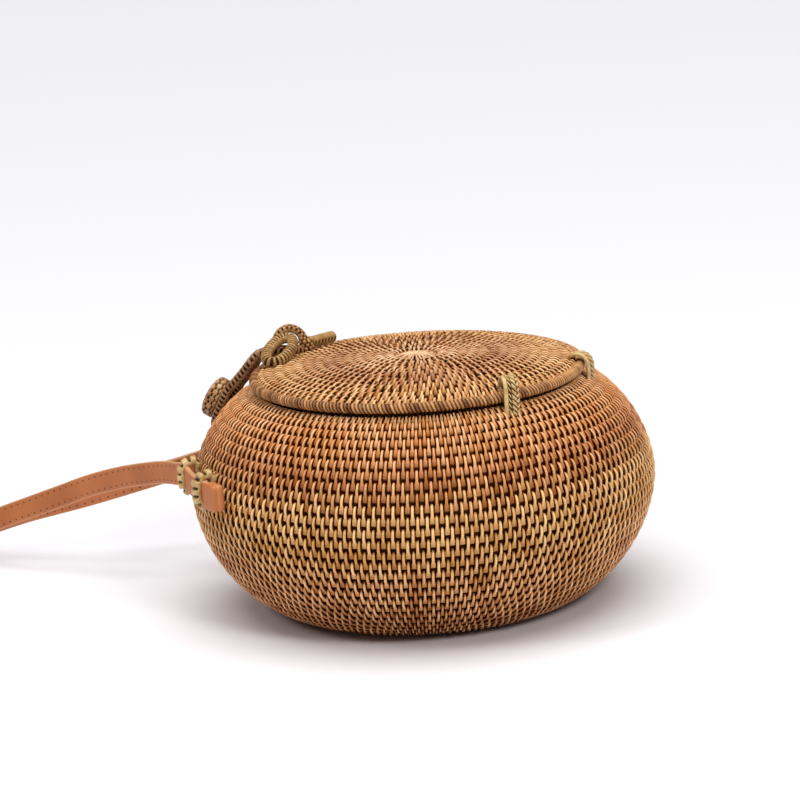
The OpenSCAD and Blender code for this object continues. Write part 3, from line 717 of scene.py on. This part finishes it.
def row_core(line, marks, depth, bulge, steps):
    """Outline under the strands: one shallow bulge for each row."""
    s = np.concatenate([np.linspace(a, b, steps, endpoint=False)
                        for a, b in zip(marks[:-1], marks[1:])] + [[marks[-1]]])
    phase = np.interp(s, marks, np.arange(len(marks)))
    lift = -depth + bulge * (np.abs(np.sin(PI * phase)) ** 0.7 - 1)
    r, z, _, _ = line.at(s, lift)
    return np.stack([np.maximum(r, 0), z], axis=1)


def make_core(name, outer, inner, sides, body, node):
    """Closed shell under the strands, from its outer face to its inner face."""
    profile = np.concatenate([outer, inner])
    profile[0, 0] = profile[-1, 0] = 0
    finish_piece(revolve(name, profile, sides), shaded_core_cane, body, [node])


def make_bowl():
    """Core of the wall and underside, then their strands; the wall's are three pieces."""
    marks = np.concatenate([np.arange(base_rows) * base_pitch,
                            base_r + np.arange(wall_rows + 1) * wall_pitch])
    outer = row_core(wall_line, marks, depth=1.5, bulge=0.8, steps=6)
    s = np.linspace(wall_line.length, 0, 150)
    r, z, _, _ = wall_line.at(s, -wall_t)
    inner = np.stack([np.maximum(r, 0), z], axis=1)
    inner[0, 1] = outer[-1, 1] - 2.5
    make_core("wall_core", outer, inner, 180, "bowl", "bowl_weave")
    counts = np.full(wall_rows, wall_strands)
    third = wall_rows // 3
    for part, first, last in (("low", 0, third), ("middle", third, 2 * third),
                              ("high", 2 * third, wall_rows + 1)):
        rows = weave_rows(wall_line, first, last, wall_pitch, base_r, counts, True, wall_lean)
        make_weave("wall_weave_" + part, wall_line, rows, wall_cane, "bowl", "bowl_weave")
    counts = flat_counts(base_rows, base_pitch, base_space)
    rows = weave_rows(wall_line, 1, base_rows, base_pitch, 0, counts, True, wall_lean)
    make_weave("underside_weave", wall_line, rows, wall_cane, "bowl", "bowl_weave")


def make_lid():
    """Core of the lid, its rows of strands, and the rays that run from its middle to them."""
    outer = row_core(lid_line, np.arange(lid_rows + 1) * lid_pitch, depth=1.2, bulge=0.6,
                     steps=6)
    r = np.linspace(lid_edge_r + lid_tuck - 0.1, 0, 60)
    make_core("lid_core", outer, np.stack([r, lid_top(r) - lid_t], axis=1), 160, "lid",
              "lid_weave")
    counts = flat_counts(lid_rows, lid_pitch, lid_space)
    rows = weave_rows(lid_line, 2, lid_rows, lid_pitch, 0, counts, False, lid_lean)
    make_weave("lid_weave_rows", lid_line, rows, lid_cane, "lid", "lid_weave")
    n = 26
    turn = np.arange(n) * 2 * PI / n + rng.normal(0, 0.03, n)
    way = rng.uniform(9, 12.5, n)
    tone = np.clip(0.7 + 0.2 * rng.standard_normal(n), 0, 1)
    start, space, lean, place = (np.full(n, v) for v in (0.7, 2.6, 0.12, 0.05))
    make_weave("lid_rays", lid_line, [turn, start, way, space, lean, tone, place], lid_cane,
               "lid", "lid_weave")


make_bowl()
make_lid()


# Bound hoops

# How round a wrap is, how fast painted shade darkens it towards its groove, how much
# painted shade darkens the hoop on its clasp side, and the spread of its tones
wrap_power, groove_shade_power, clasp_shade, wrap_spread = 0.55, 2.2, 0.25, 0.3


def bound_hoop(name, ring_r, z, rod_r, wraps, steps, sides, relief, slant, node, material,
               body):
    """A hoop bound with splint: a ring of round section whose radius falls to a groove
    between one wrap and the next; the wraps lean by 'slant' round the section."""
    n = wraps * steps
    u = np.arange(n)[:, None] / steps
    a = (np.arange(sides) * 2 * PI / sides)[None, :]
    phase = u + slant * np.sin(a)
    crest = np.abs(np.sin(PI * phase)) ** wrap_power
    radius = rod_r - relief * (1 - crest)
    turn = u / wraps * 2 * PI
    points = spin(ring_r + radius * np.cos(a), turn, z + radius * np.sin(a))
    wrap = np.floor(phase).astype(int) % wraps
    # Painted shade: the hoop is drawn darker towards the clasp
    shade = clasp_shade * np.cos(np.arange(wraps) * 2 * PI / wraps)
    tones = np.clip(0.5 - shade + wrap_spread * rng.standard_normal(wraps), 0, 1)
    uv = np.stack(np.broadcast_arrays(phase + wrap * 3.7, a / 2), -1)
    # The rise attribute paints shade into the grooves between wraps
    piece = make_piece(name, points, grid_quads(n, sides, wrap_rows=True), None, uv,
                       {"tone": tones[wrap], "rise": crest ** groove_shade_power})
    finish_piece(piece, material, body, [node])


bound_hoop("lid_rim", lid_rod_r, lid_rod_z, lid_rod_half, wraps=270, steps=6, sides=20,
           relief=0.85, slant=0.45, node="lid_binding", material=rim_cane, body="lid")
bound_hoop("mouth_rim", mouth_rod_r, mouth_rod_z, mouth_rod_half, wraps=250, steps=4,
           sides=12, relief=0.4, slant=0.4, node="mouth_binding", material=shaded_mouth_cane,
           body="bowl")


# Laced cords and plaited bands

def even_steps(path, step, closed):
    """The path again at even steps of about the given length."""
    p = np.concatenate([path, path[:1]]) if closed else path
    s = lengths_along(p)
    n = max(8, int(round(s[-1] / step)))
    t = np.linspace(0, s[-1], n + 1)
    t = t[:-1] if closed else t
    return np.stack([np.interp(t, s, p[:, k]) for k in range(3)], 1), t, s[-1]


def soft_step(v):
    """Smooth step from 0 at 0 to 1 at 1."""
    v = np.clip(v, 0, 1)
    return v * v * (3 - 2 * v)


# Steps in a pitch, how softly a gap ends across (as a share of its half width) and along
# (as a share of the pitch), the depth at which a gap takes its full painted shade, and the
# spread of the tones
pitch_steps, soft_across, soft_along, full_shade_depth, cord_spread = 9, 0.35, 0.1, 0.6, 0.14


def laced(name, path, up, half, pitch, marks, material, nodes, body, square=1.0,
          closed=True, cols=40, taper=None):
    """Cord or band with gaps between its strands. Its section has the two half sizes
    'half': an ellipse for a cord, a super-ellipse for a band (square below 1), whose angle
    runs evenly over its width. Both are drawn in at each mark. A mark is (middle angle,
    half width in degrees, open share of the pitch, slant, shift, depth in mm); an open
    share of 1 is a groove all the way."""
    half_w, half_t = half
    path, s, total = even_steps(path, pitch / pitch_steps, closed)
    side, top = path_frame(path, up, closed)
    waves = max(1, round(total / pitch)) if closed else total / pitch
    a = np.arange(cols) * 360 / cols
    if square < 1:
        u = 1 - np.abs((a + 90) % 360 - 180) / 90
        x = np.sign(np.cos(np.radians(a)) + 1e-9) * half_w \
            * (1 - np.abs(u) ** (2 / square)).clip(0.002) ** (square / 2)
        y = u * half_t
    else:
        x, y = np.cos(np.radians(a)) * half_w, np.sin(np.radians(a)) * half_t
    hole, dark = np.zeros((len(s), cols)), np.zeros((len(s), cols))
    for middle, spread, share, slant, shift, depth in marks:
        off = (a - middle + 180) % 360 - 180
        wide = soft_step((spread - np.abs(off)) / (spread * soft_across) + 0.5)[None, :]
        phase = (s[:, None] / total * waves + shift + slant * off / spread + 0.5) % 1 - 0.5
        if share < 1:
            wide = wide * soft_step((share / 2 - np.abs(phase)) / soft_along + 0.5)
        hole = np.maximum(hole, wide * depth)
        # Painted shade: a gap is drawn darker the deeper it is
        dark = np.maximum(dark, wide * min(1, depth / full_shade_depth))
    size = np.ones(len(s)) if taper is None else taper(s)
    if square < 1:
        x_in = np.sign(x) * np.maximum(np.abs(x) - hole, 0.02)
        y_in = y * (1 - 0.3 * dark * np.abs(y / half_t) ** 4)
    else:
        x_in, y_in = (v * (1 - hole / np.hypot(x, y)) for v in (x, y))
    points = sweep(path, side, top, x_in * size[:, None], y_in * size[:, None])
    cell = np.floor(s / total * waves).astype(int)
    tones = np.clip(0.5 + cord_spread * rng.standard_normal(cell.max() + 2), 0, 1)
    # The rise attribute carries that painted shade to the material
    values = {"tone": np.broadcast_to(tones[cell][:, None], dark.shape),
              "rise": 0.9 - 0.9 * dark}
    uv = np.stack(np.broadcast_arrays(s[:, None] / 3, a / 60), -1)
    if closed:
        quads = grid_quads(len(s), cols, wrap_rows=True)
        piece = make_piece(name, points, quads, None, uv, values)
    else:
        piece = make_capped(name, points, path[[0, -1]], values, 0.5, uv)
    return finish_piece(piece, material, body, nodes)


def rounded(points, step, soften):
    """Closed path through corner points at an even step, softened by a moving mean."""
    p = np.asarray(points, float)
    q = np.roll(p, -1, 0)
    sides = []
    for a, b in zip(p, q):
        n = max(2, int(np.linalg.norm(b - a) / step))
        sides.append(a + (b - a) * (np.arange(n) / n)[:, None])
    path = np.concatenate(sides)
    for _ in range(soften):
        path = (np.roll(path, 1, 0) + path * 2 + np.roll(path, -1, 0)) / 4
    return path


# Turns in degrees from the back of the bag: the middle between the two loops, each loop's
# way from there, and how far each faces past its own turn
hinge_turn, hinge_spread, hinge_lean = 11.0, 25.2, 20.0
hinge_band_w, hinge_band_t, hinge_gap = 6.6, 1.7, 0.3
arch_mid_r, hinge_bottom = 4.85, 88.65
# How far each loop's arch stands above the lid's hoop: the right one (1), the left one (-1)
hinge_rises = {1: 3.2, -1: 0.2}
lean_angle = math.radians(hinge_lean)
hinge_inner_r = mouth_rod_r - mouth_rod_half - hinge_gap - hinge_band_w / 2 * math.sin(lean_angle)
hinge_inner_x = (hinge_inner_r - lid_rod_r) / math.cos(lean_angle) - hinge_band_t / 2


# Gaps of the hinge loops' plait, on the outer face and on the inner one
hinge_marks = [
    (face + way * middle, half, share, slant * way, shift, depth)
    for face, way in ((0, 1), (180, -1))
    for middle, half, share, slant, shift, depth in (
        (-16, 20, 0.55, 0.5, 0.0, 1.1), (-42, 4, 1.0, 0.0, 0.0, 0.3),
        (28, 36, 0.28, 0.6, 0.4, 0.7), (70, 18, 0.35, -0.2, 0.1, 0.7))]


def make_hinge_loop(name, side):
    """The band goes up the outer leg, over the lid's hoop, down inside it, past the
    mouth's hoop and back under the shoulder."""
    arch_z = lid_rod_z + hinge_rises[side]
    step_z = mouth_rod_z + mouth_rod_half + hinge_gap + hinge_band_t / 2
    a = np.radians(np.linspace(0, 180, 25))
    arch = np.stack([arch_mid_r * np.cos(a), arch_z + arch_mid_r * np.sin(a)], 1)
    corners = np.concatenate([[[arch_mid_r, hinge_bottom]], arch,
                              [[-arch_mid_r, step_z], [hinge_inner_x, step_z],
                               [hinge_inner_x, hinge_bottom]]])
    flat = rounded(corners, 0.35, 6)
    gamma = math.radians(hinge_turn + side * hinge_spread)
    facing = gamma + lean_angle
    centre = np.array([lid_rod_r * math.sin(gamma), lid_rod_r * math.cos(gamma), 0])
    out = np.array([math.sin(facing), math.cos(facing), 0])
    across = np.array([math.cos(facing), -math.sin(facing), 0])
    path = centre + flat[:, :1] * out + flat[:, 1:] * z_dir
    piece = laced(name + "_plait", path, -across, (hinge_band_t / 2, hinge_band_w / 2), 2.2,
                  hinge_marks, olive_cane, [name], None, square=0.55, cols=64)
    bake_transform(piece)


make_hinge_loop("hinge_loop_right", 1)
make_hinge_loop("hinge_loop_left", -1)


# The button: half its width, its thickness, its lift off the wall, and its nod in degrees
button_half, button_t, button_lift, button_nod = 9.3, 6.2, 4.8, 8.0


def shoulder_point(degrees):
    """Point (r, z) of the shoulder at an angle of its quarter."""
    a = math.radians(degrees)
    return np.array([
        mouth_r + (belly_r - mouth_r) * math.cos(a) ** shoulder_power,
        belly_h + (shoulder_h - belly_h) * math.sin(a) ** shoulder_power])


# The button's foot on the shoulder, and its directions as (outwards, up)
button_foot = shoulder_point(45)
shoulder_dip = shoulder_point(44) - button_foot
button_tilt = math.atan2(shoulder_dip[0], -shoulder_dip[1]) - math.radians(button_nod)
button_out = np.array([math.cos(button_tilt), math.sin(button_tilt)])
button_down = np.array([button_out[1], -button_out[0]])
loop_cord_d, loop_half_w, loop_gap = 3.6, 7.2, 0.3
# The loop's half outline as (way along, half width, lift): first from the lid's edge down,
# then round the button
loop_upper = np.array([[0, 0, 0], [0.06, 0.3, 0.04], [0.16, 0.55, 0.1], [0.4, 0.7, 0.17],
                       [0.7, 0.84, 0.12]])
loop_lower = np.array([[-0.73, 0.96, 1], [-0.24, 1, 1], [0.24, 1, 1], [0.62, 0.8, 1],
                       [0.85, 0.52, 1.05], [1, 0, 1.3]])


def make_clasp_loop():
    """Closed loop from the lid's edge down to the button, under it on both sides of its
    peg and round under its lower edge."""
    head = np.array([72.5 + loop_cord_d * 0.78, lid_rod_z + lid_rod_half + loop_cord_d * 0.7])
    under = button_lift - loop_cord_d / 2 - loop_gap
    reach = button_half + loop_cord_d / 2 + loop_gap
    low = (button_foot + np.outer(loop_lower[:, 0] * reach, button_down)
           + np.outer(loop_lower[:, 2] * under, button_out))
    way = low[0] - head
    lift = np.array([-way[1], way[0]]) / np.linalg.norm(way)
    high = (head + np.outer(loop_upper[:, 0], way)
            - np.outer(loop_upper[:, 2] * loop_cord_d, lift))
    p = np.concatenate([high, low])
    half = np.concatenate([loop_upper[:, 1], loop_lower[:, 1]]) * loop_half_w
    one = np.stack([half, -p[:, 0], p[:, 1]], 1)
    two = one[1:-1][::-1] * [-1, 1, 1]
    ring = np.concatenate([one, two])
    path = smooth_route(np.concatenate([ring[-2:], ring, ring[:3]]), 10)[20:-20]
    path = path[:len(ring) * 10]
    up = np.array([0, -lift[0], lift[1]])
    marks = [(0, 36, 0.5, 0.1, 0.0, 0.9), (180, 36, 0.5, 0.1, 0.0, 0.9),
             (90, 20, 0.3, 0.0, 0.5, 0.35), (270, 20, 0.3, 0.0, 0.5, 0.35)]
    laced("clasp_loop_cord", path, up, (2.05, 2.05), 2.1, marks, dark_cane, ["clasp_loop"],
          "clasp")


# The knot's cords; the ring's way from the middle of the lid, half length and half width
knot_cord_d, ear_low_cord_d = 4.2, 4.8
ear_low_r, ear_low_len, ear_low_w = 61.9, 10.0, 4.7
ring_mid = np.array([ear_low_len / 2, -ear_low_r,
                     lid_rod_z + lid_rod_half + ear_low_cord_d * 1.31])
# The arch: half its span, its rise, the way it runs, the middle between its feet and its
# inner foot
arch_span, arch_rise = 7.2, 9.7
arch_way = np.array([-0.22, 1, 0]) / math.hypot(0.22, 1)
arch_mid = np.array([ring_mid[0] - ear_low_len - knot_cord_d * 1.6,
                     -ear_low_r - knot_cord_d * 0.55, lid_top(ear_low_r - arch_span)])
inner_foot = arch_mid + arch_way * arch_span


def make_ring():
    """Low oval ring. Its inner edge is a smooth rail; bars with gaps go round the rest."""
    a = np.linspace(0, 2 * PI, 161)[:-1]
    along = np.array([ear_low_len, ear_low_w * 0.15, -ear_low_cord_d * 0.68])
    across = np.array([ear_low_w * 0.3, -ear_low_w, ear_low_cord_d * 0.04])
    ring = ring_mid + np.outer(np.cos(a), along) + np.outer(np.sin(a), across)
    flat = np.cross(along, across)
    marks = [(222, 88, 0.42, 0.12, 0.0, 0.7), (215, 34, 0.5, 0.0, 0.0, 1.0)]
    laced("clasp_ring_cord", ring, flat / np.linalg.norm(flat), (2.45, 2.45), 1.75, marks,
          ring_cane, ["clasp_ear_low"], "lid", cols=48)


def make_arch():
    """Upright arch, with beads all along it."""
    a = np.linspace(0, PI, 80)
    arch = (arch_mid + np.outer(np.cos(a) * arch_span, arch_way)
            + np.outer(0.3 + arch_rise * np.sin(a), z_dir))
    marks = [(-66, 26, 0.45, 0.0, 0.0, 0.6), (-14, 24, 0.5, 0.0, 0.5, 0.7),
             (52, 30, 0.5, 0.0, 0.0, 0.7), (110, 22, 0.4, 0.0, 0.5, 0.5)]
    laced("clasp_arch_cord", arch, np.cross(z_dir, arch_way), (1.95, 1.95), 2.0, marks,
          knot_cane, ["clasp_ear_tall"], "lid", closed=False)


def make_tie():
    """The loop's cord comes up behind the ring and under the arch to the lashing."""
    tie = smooth_route([[0, -75.2, 104.6], [-1.5, -71, 105.8], [-3.5, -66, 106.2],
                        [-7, -61.5, 105.4], [-12, -58, 104.6]], 14)
    marks = [(0, 36, 0.5, 0.1, 0.0, 0.8), (180, 36, 0.5, 0.1, 0.0, 0.8)]
    laced("clasp_tie_cord", tie, z_dir, (2.5, 2.5), 2.1, marks, dark_cane, (), "lid",
          closed=False)


def make_lashing():
    """A few wraps of thin splint round the inner foot of the arch."""
    turns, wrap_r, low, high = 3, 2.6, 0.9, 4.8
    a = np.linspace(0, 2 * PI * turns, 150)
    wraps = inner_foot + np.stack([wrap_r * np.cos(a), wrap_r * np.sin(a),
                                   low + a / (2 * PI * turns) * high], 1)
    laced("clasp_lashing_cord", wraps, z_dir, (0.95, 0.9), 1.9,
          [(0, 200, 0.4, 0.0, 0.0, 0.5)], knot_cane, ["clasp_lashing"], "lid",
          closed=False, cols=12)


def make_tail():
    """Free end of the cord, which lies on the lid and is rounded off at its tip."""
    length, tip_from, tip = 15.6, 14.2, 1.45
    way = np.array([-1, 0.42, 0]) / math.hypot(1, 0.42)
    start = (inner_foot[0], inner_foot[1], lid_top(math.hypot(*inner_foot[:2])) + 3.5)
    tail = start + way * 1.6 + np.outer(np.linspace(0, length, 60), way)
    marks = [(195, 24, 0.5, 0.15, 0.0, 0.9), (240, 24, 0.5, 0.15, 0.5, 0.8),
             (0, 50, 0.4, 0.1, 0.0, 0.6)]

    def taper(s):
        into = ((s - tip_from) / tip).clip(0, 1)
        return np.sqrt(np.clip(1 - into ** 2, 0.02, 1))

    laced("clasp_tail_cord", tail, z_dir, (2.6, 2.6), 2.0, marks, ring_cane, ["clasp_tail"],
          "lid", closed=False, taper=taper)


make_clasp_loop()
make_ring()
make_arch()
make_tie()
make_lashing()
make_tail()


def button_profile(edge, rows):
    """Profile (r, h) and its normal (nr, nh), at even lengths s from the middle of the
    face, over the rounded edge and the side, to the middle of the back."""
    flat = button_half - edge
    parts = [flat, edge * PI / 2, button_t - 2 * edge, edge * PI / 2, flat]
    length = np.concatenate([[0], np.cumsum(parts)])
    s = np.linspace(0, length[-1], rows + 2)[1:-1]
    part = np.searchsorted(length, s) - 1
    on = [part == k for k in range(4)]
    high, low = (s - length[1]) / edge, (s - length[3]) / edge
    r = np.select(on, [s, flat + edge * np.sin(high), button_half,
                       flat + edge * np.cos(low)], flat - (s - length[4]))
    h = np.select(on, [button_t, button_t - edge + edge * np.cos(high),
                       button_t - edge - (s - length[2]), edge - edge * np.sin(low)], 0)
    nr = np.select(on, [0, np.sin(high), 1, np.cos(low)], 0)
    nh = np.select(on, [1, np.cos(high), 0, -np.sin(low)], -1)
    return (v[:, None] for v in (s, r, h, nr, nh))


# Rounding of the button's edge, width of a row of blocks in mm, and blocks in a row. A hole
# has half sizes as shares of a block and a row, and a depth in mm; a line between blocks
# has a half width as a share, and a share of that depth.
button_edge, block_row_w, row_blocks = 1.9, 2.7, 16
hole_across, hole_along, hole_depth, line_half, line_share = 0.22, 0.28, 1.3, 0.06, 0.35


def make_button():
    """A thick woven disc: a rounded profile turned about the button's own axis, cut into
    blocks by small holes and shallow lines. Each row is set over by half a block."""
    cols, shades = 240, 997
    s, r, h, nr, nh = button_profile(button_edge, 72)
    a = (np.arange(cols) * 2 * PI / cols)[None, :]
    row = s / block_row_w
    phase = row_blocks * a / (2 * PI) + 0.5 * (np.floor(row) % 2)
    # A small hole where the lines of a row and of its blocks cross, and shallow lines
    across = np.abs((phase + 0.5) % 1 - 0.5)
    along = np.abs((row + 0.5) % 1 - 0.5)
    hole = (soft_step((hole_across - across) / 0.1 + 0.5)
            * soft_step((hole_along - along) / 0.12 + 0.5))
    line = line_share * soft_step((line_half - np.minimum(across, along)) / 0.08 + 0.5)
    block = 1 - np.maximum(hole, line)
    lift = -hole_depth * (1 - block)
    radius = np.maximum(r + nr * lift, 0.05)
    height = h + nh * lift + button_lift
    x_dir = np.array([1, 0, 0])
    out_dir = np.array([0, -button_out[0], button_out[1]])
    down_dir = np.array([0, -button_down[0], button_down[1]])
    centre = np.array([0, -button_foot[0], button_foot[1]])
    points = (centre + (radius * np.cos(a))[..., None] * x_dir
              + (radius * np.sin(a))[..., None] * down_dir + height[..., None] * out_dir)
    ends = [centre + out_dir * (button_lift + button_t - 0.5),
            centre + out_dir * button_lift]
    tones = rng.uniform(0.2, 0.85, shades)
    cell = (np.floor(phase) * 7 + np.floor(row) * 31).astype(int) % shades
    uv = np.stack(np.broadcast_arrays(phase, row), -1)
    # The rise attribute paints shade into the holes and the lines between blocks
    piece = make_capped("button_blocks", points, ends,
                        {"tone": tones[cell], "rise": 0.95 * block}, 0.5, uv)
    finish_piece(piece, button_cane, "bowl", ["button_weave"])


make_button()


# A staple: its outer reach from the bag's axis, where its legs end, half its height, the
# radius of its corners, and half the thickness and width of its band
staple_reach, staple_leg_r, staple_half_h, staple_corner = 104.9, 97.5, 6.9, 4.6
staple_half = (1.9, 2.9)


def make_strap_loop(name, turn_degrees):
    """Plaited staple round the strap: a band out from the wall, down and back in."""
    out, across = directions(math.radians(turn_degrees))
    a = np.radians(np.linspace(90, 0, 8))
    top = np.stack([staple_reach - staple_corner + staple_corner * np.cos(a),
                    staple_half_h - staple_corner + staple_corner * np.sin(a)], 1)
    top = np.concatenate([[[staple_leg_r, staple_half_h]], top])
    flat = np.concatenate([top, top[::-1] * [1, -1]])
    path = rounded(flat, 0.4, 4)
    path = path[:, :1] * out + (strap_h + path[:, 1:]) * z_dir
    # Slots across the outer half of the section; the inner half is a smooth rail
    marks = [(0, 84, 0.36, 0.0, 0.0, 1.4)]
    laced(name + "_plait", path, -across, staple_half, 3.3, marks, olive_cane, [name],
          "bowl", square=0.8, cols=64)


for side_name, side in (("right", 1), ("left", -1)):
    make_strap_loop("strap_loop_" + side_name + "_front", side * front_loop_turn)
    make_strap_loop("strap_loop_" + side_name + "_rear", side * rear_loop_turn)

# CAD nodes that keep their own shape
for node, material in (("bowl_lining", cotton), ("lid_lining", cotton),
                       ("mouth_hoop", shaded_core_cane), ("lid_hoop", shaded_core_cane),
                       ("button_peg", dark_cane)):
    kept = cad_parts[node]
    kept.data.materials.clear()
    kept.data.materials.append(material)


# The studio

def add_light(name, kind, energy, **settings):
    """Light with its settings."""
    data = bpy.data.lights.new(name, kind)
    data.energy = energy
    for key, value in settings.items():
        setattr(data, key, value)
    return add_object(name, data)


def make_studio():
    """Plain pale floor under a broad soft sun, two small lamps and a dim pale sky."""
    half = 6.0
    mesh = bpy.data.meshes.new("floor")
    mesh.from_pydata([(-half, -half, 0), (half, -half, 0), (half, half, 0), (-half, half, 0)],
                     [], [(0, 1, 2, 3)])
    floor = add_object("floor", mesh)
    material, tree, shader = new_material("floor_paper")
    fill_inputs(tree, shader, {"Base Color": (0.88, 0.87, 0.9, 1), "Roughness": 0.8})
    mesh.materials.append(material)
    add_light("overhead", "SUN", 2.88, angle=math.radians(65))
    for name, place, watts in (("left_light", (0.9, -0.8, 1.1), 4),
                               ("right_light", (0.9, 1.1, 1.1), 11)):
        light = add_light(name, "AREA", watts, size=0.4)
        light.location = place
        light.rotation_euler = (look_at - Vector(place)).to_track_quat("-Z", "Y").to_euler()
    world = bpy.data.worlds.new("sky")
    world.use_nodes = True
    fill_inputs(world.node_tree, world.node_tree.nodes["Background"],
                {"Color": (0.95, 0.95, 1, 1), "Strength": 0.1})
    bpy.context.scene.world = world


make_studio()
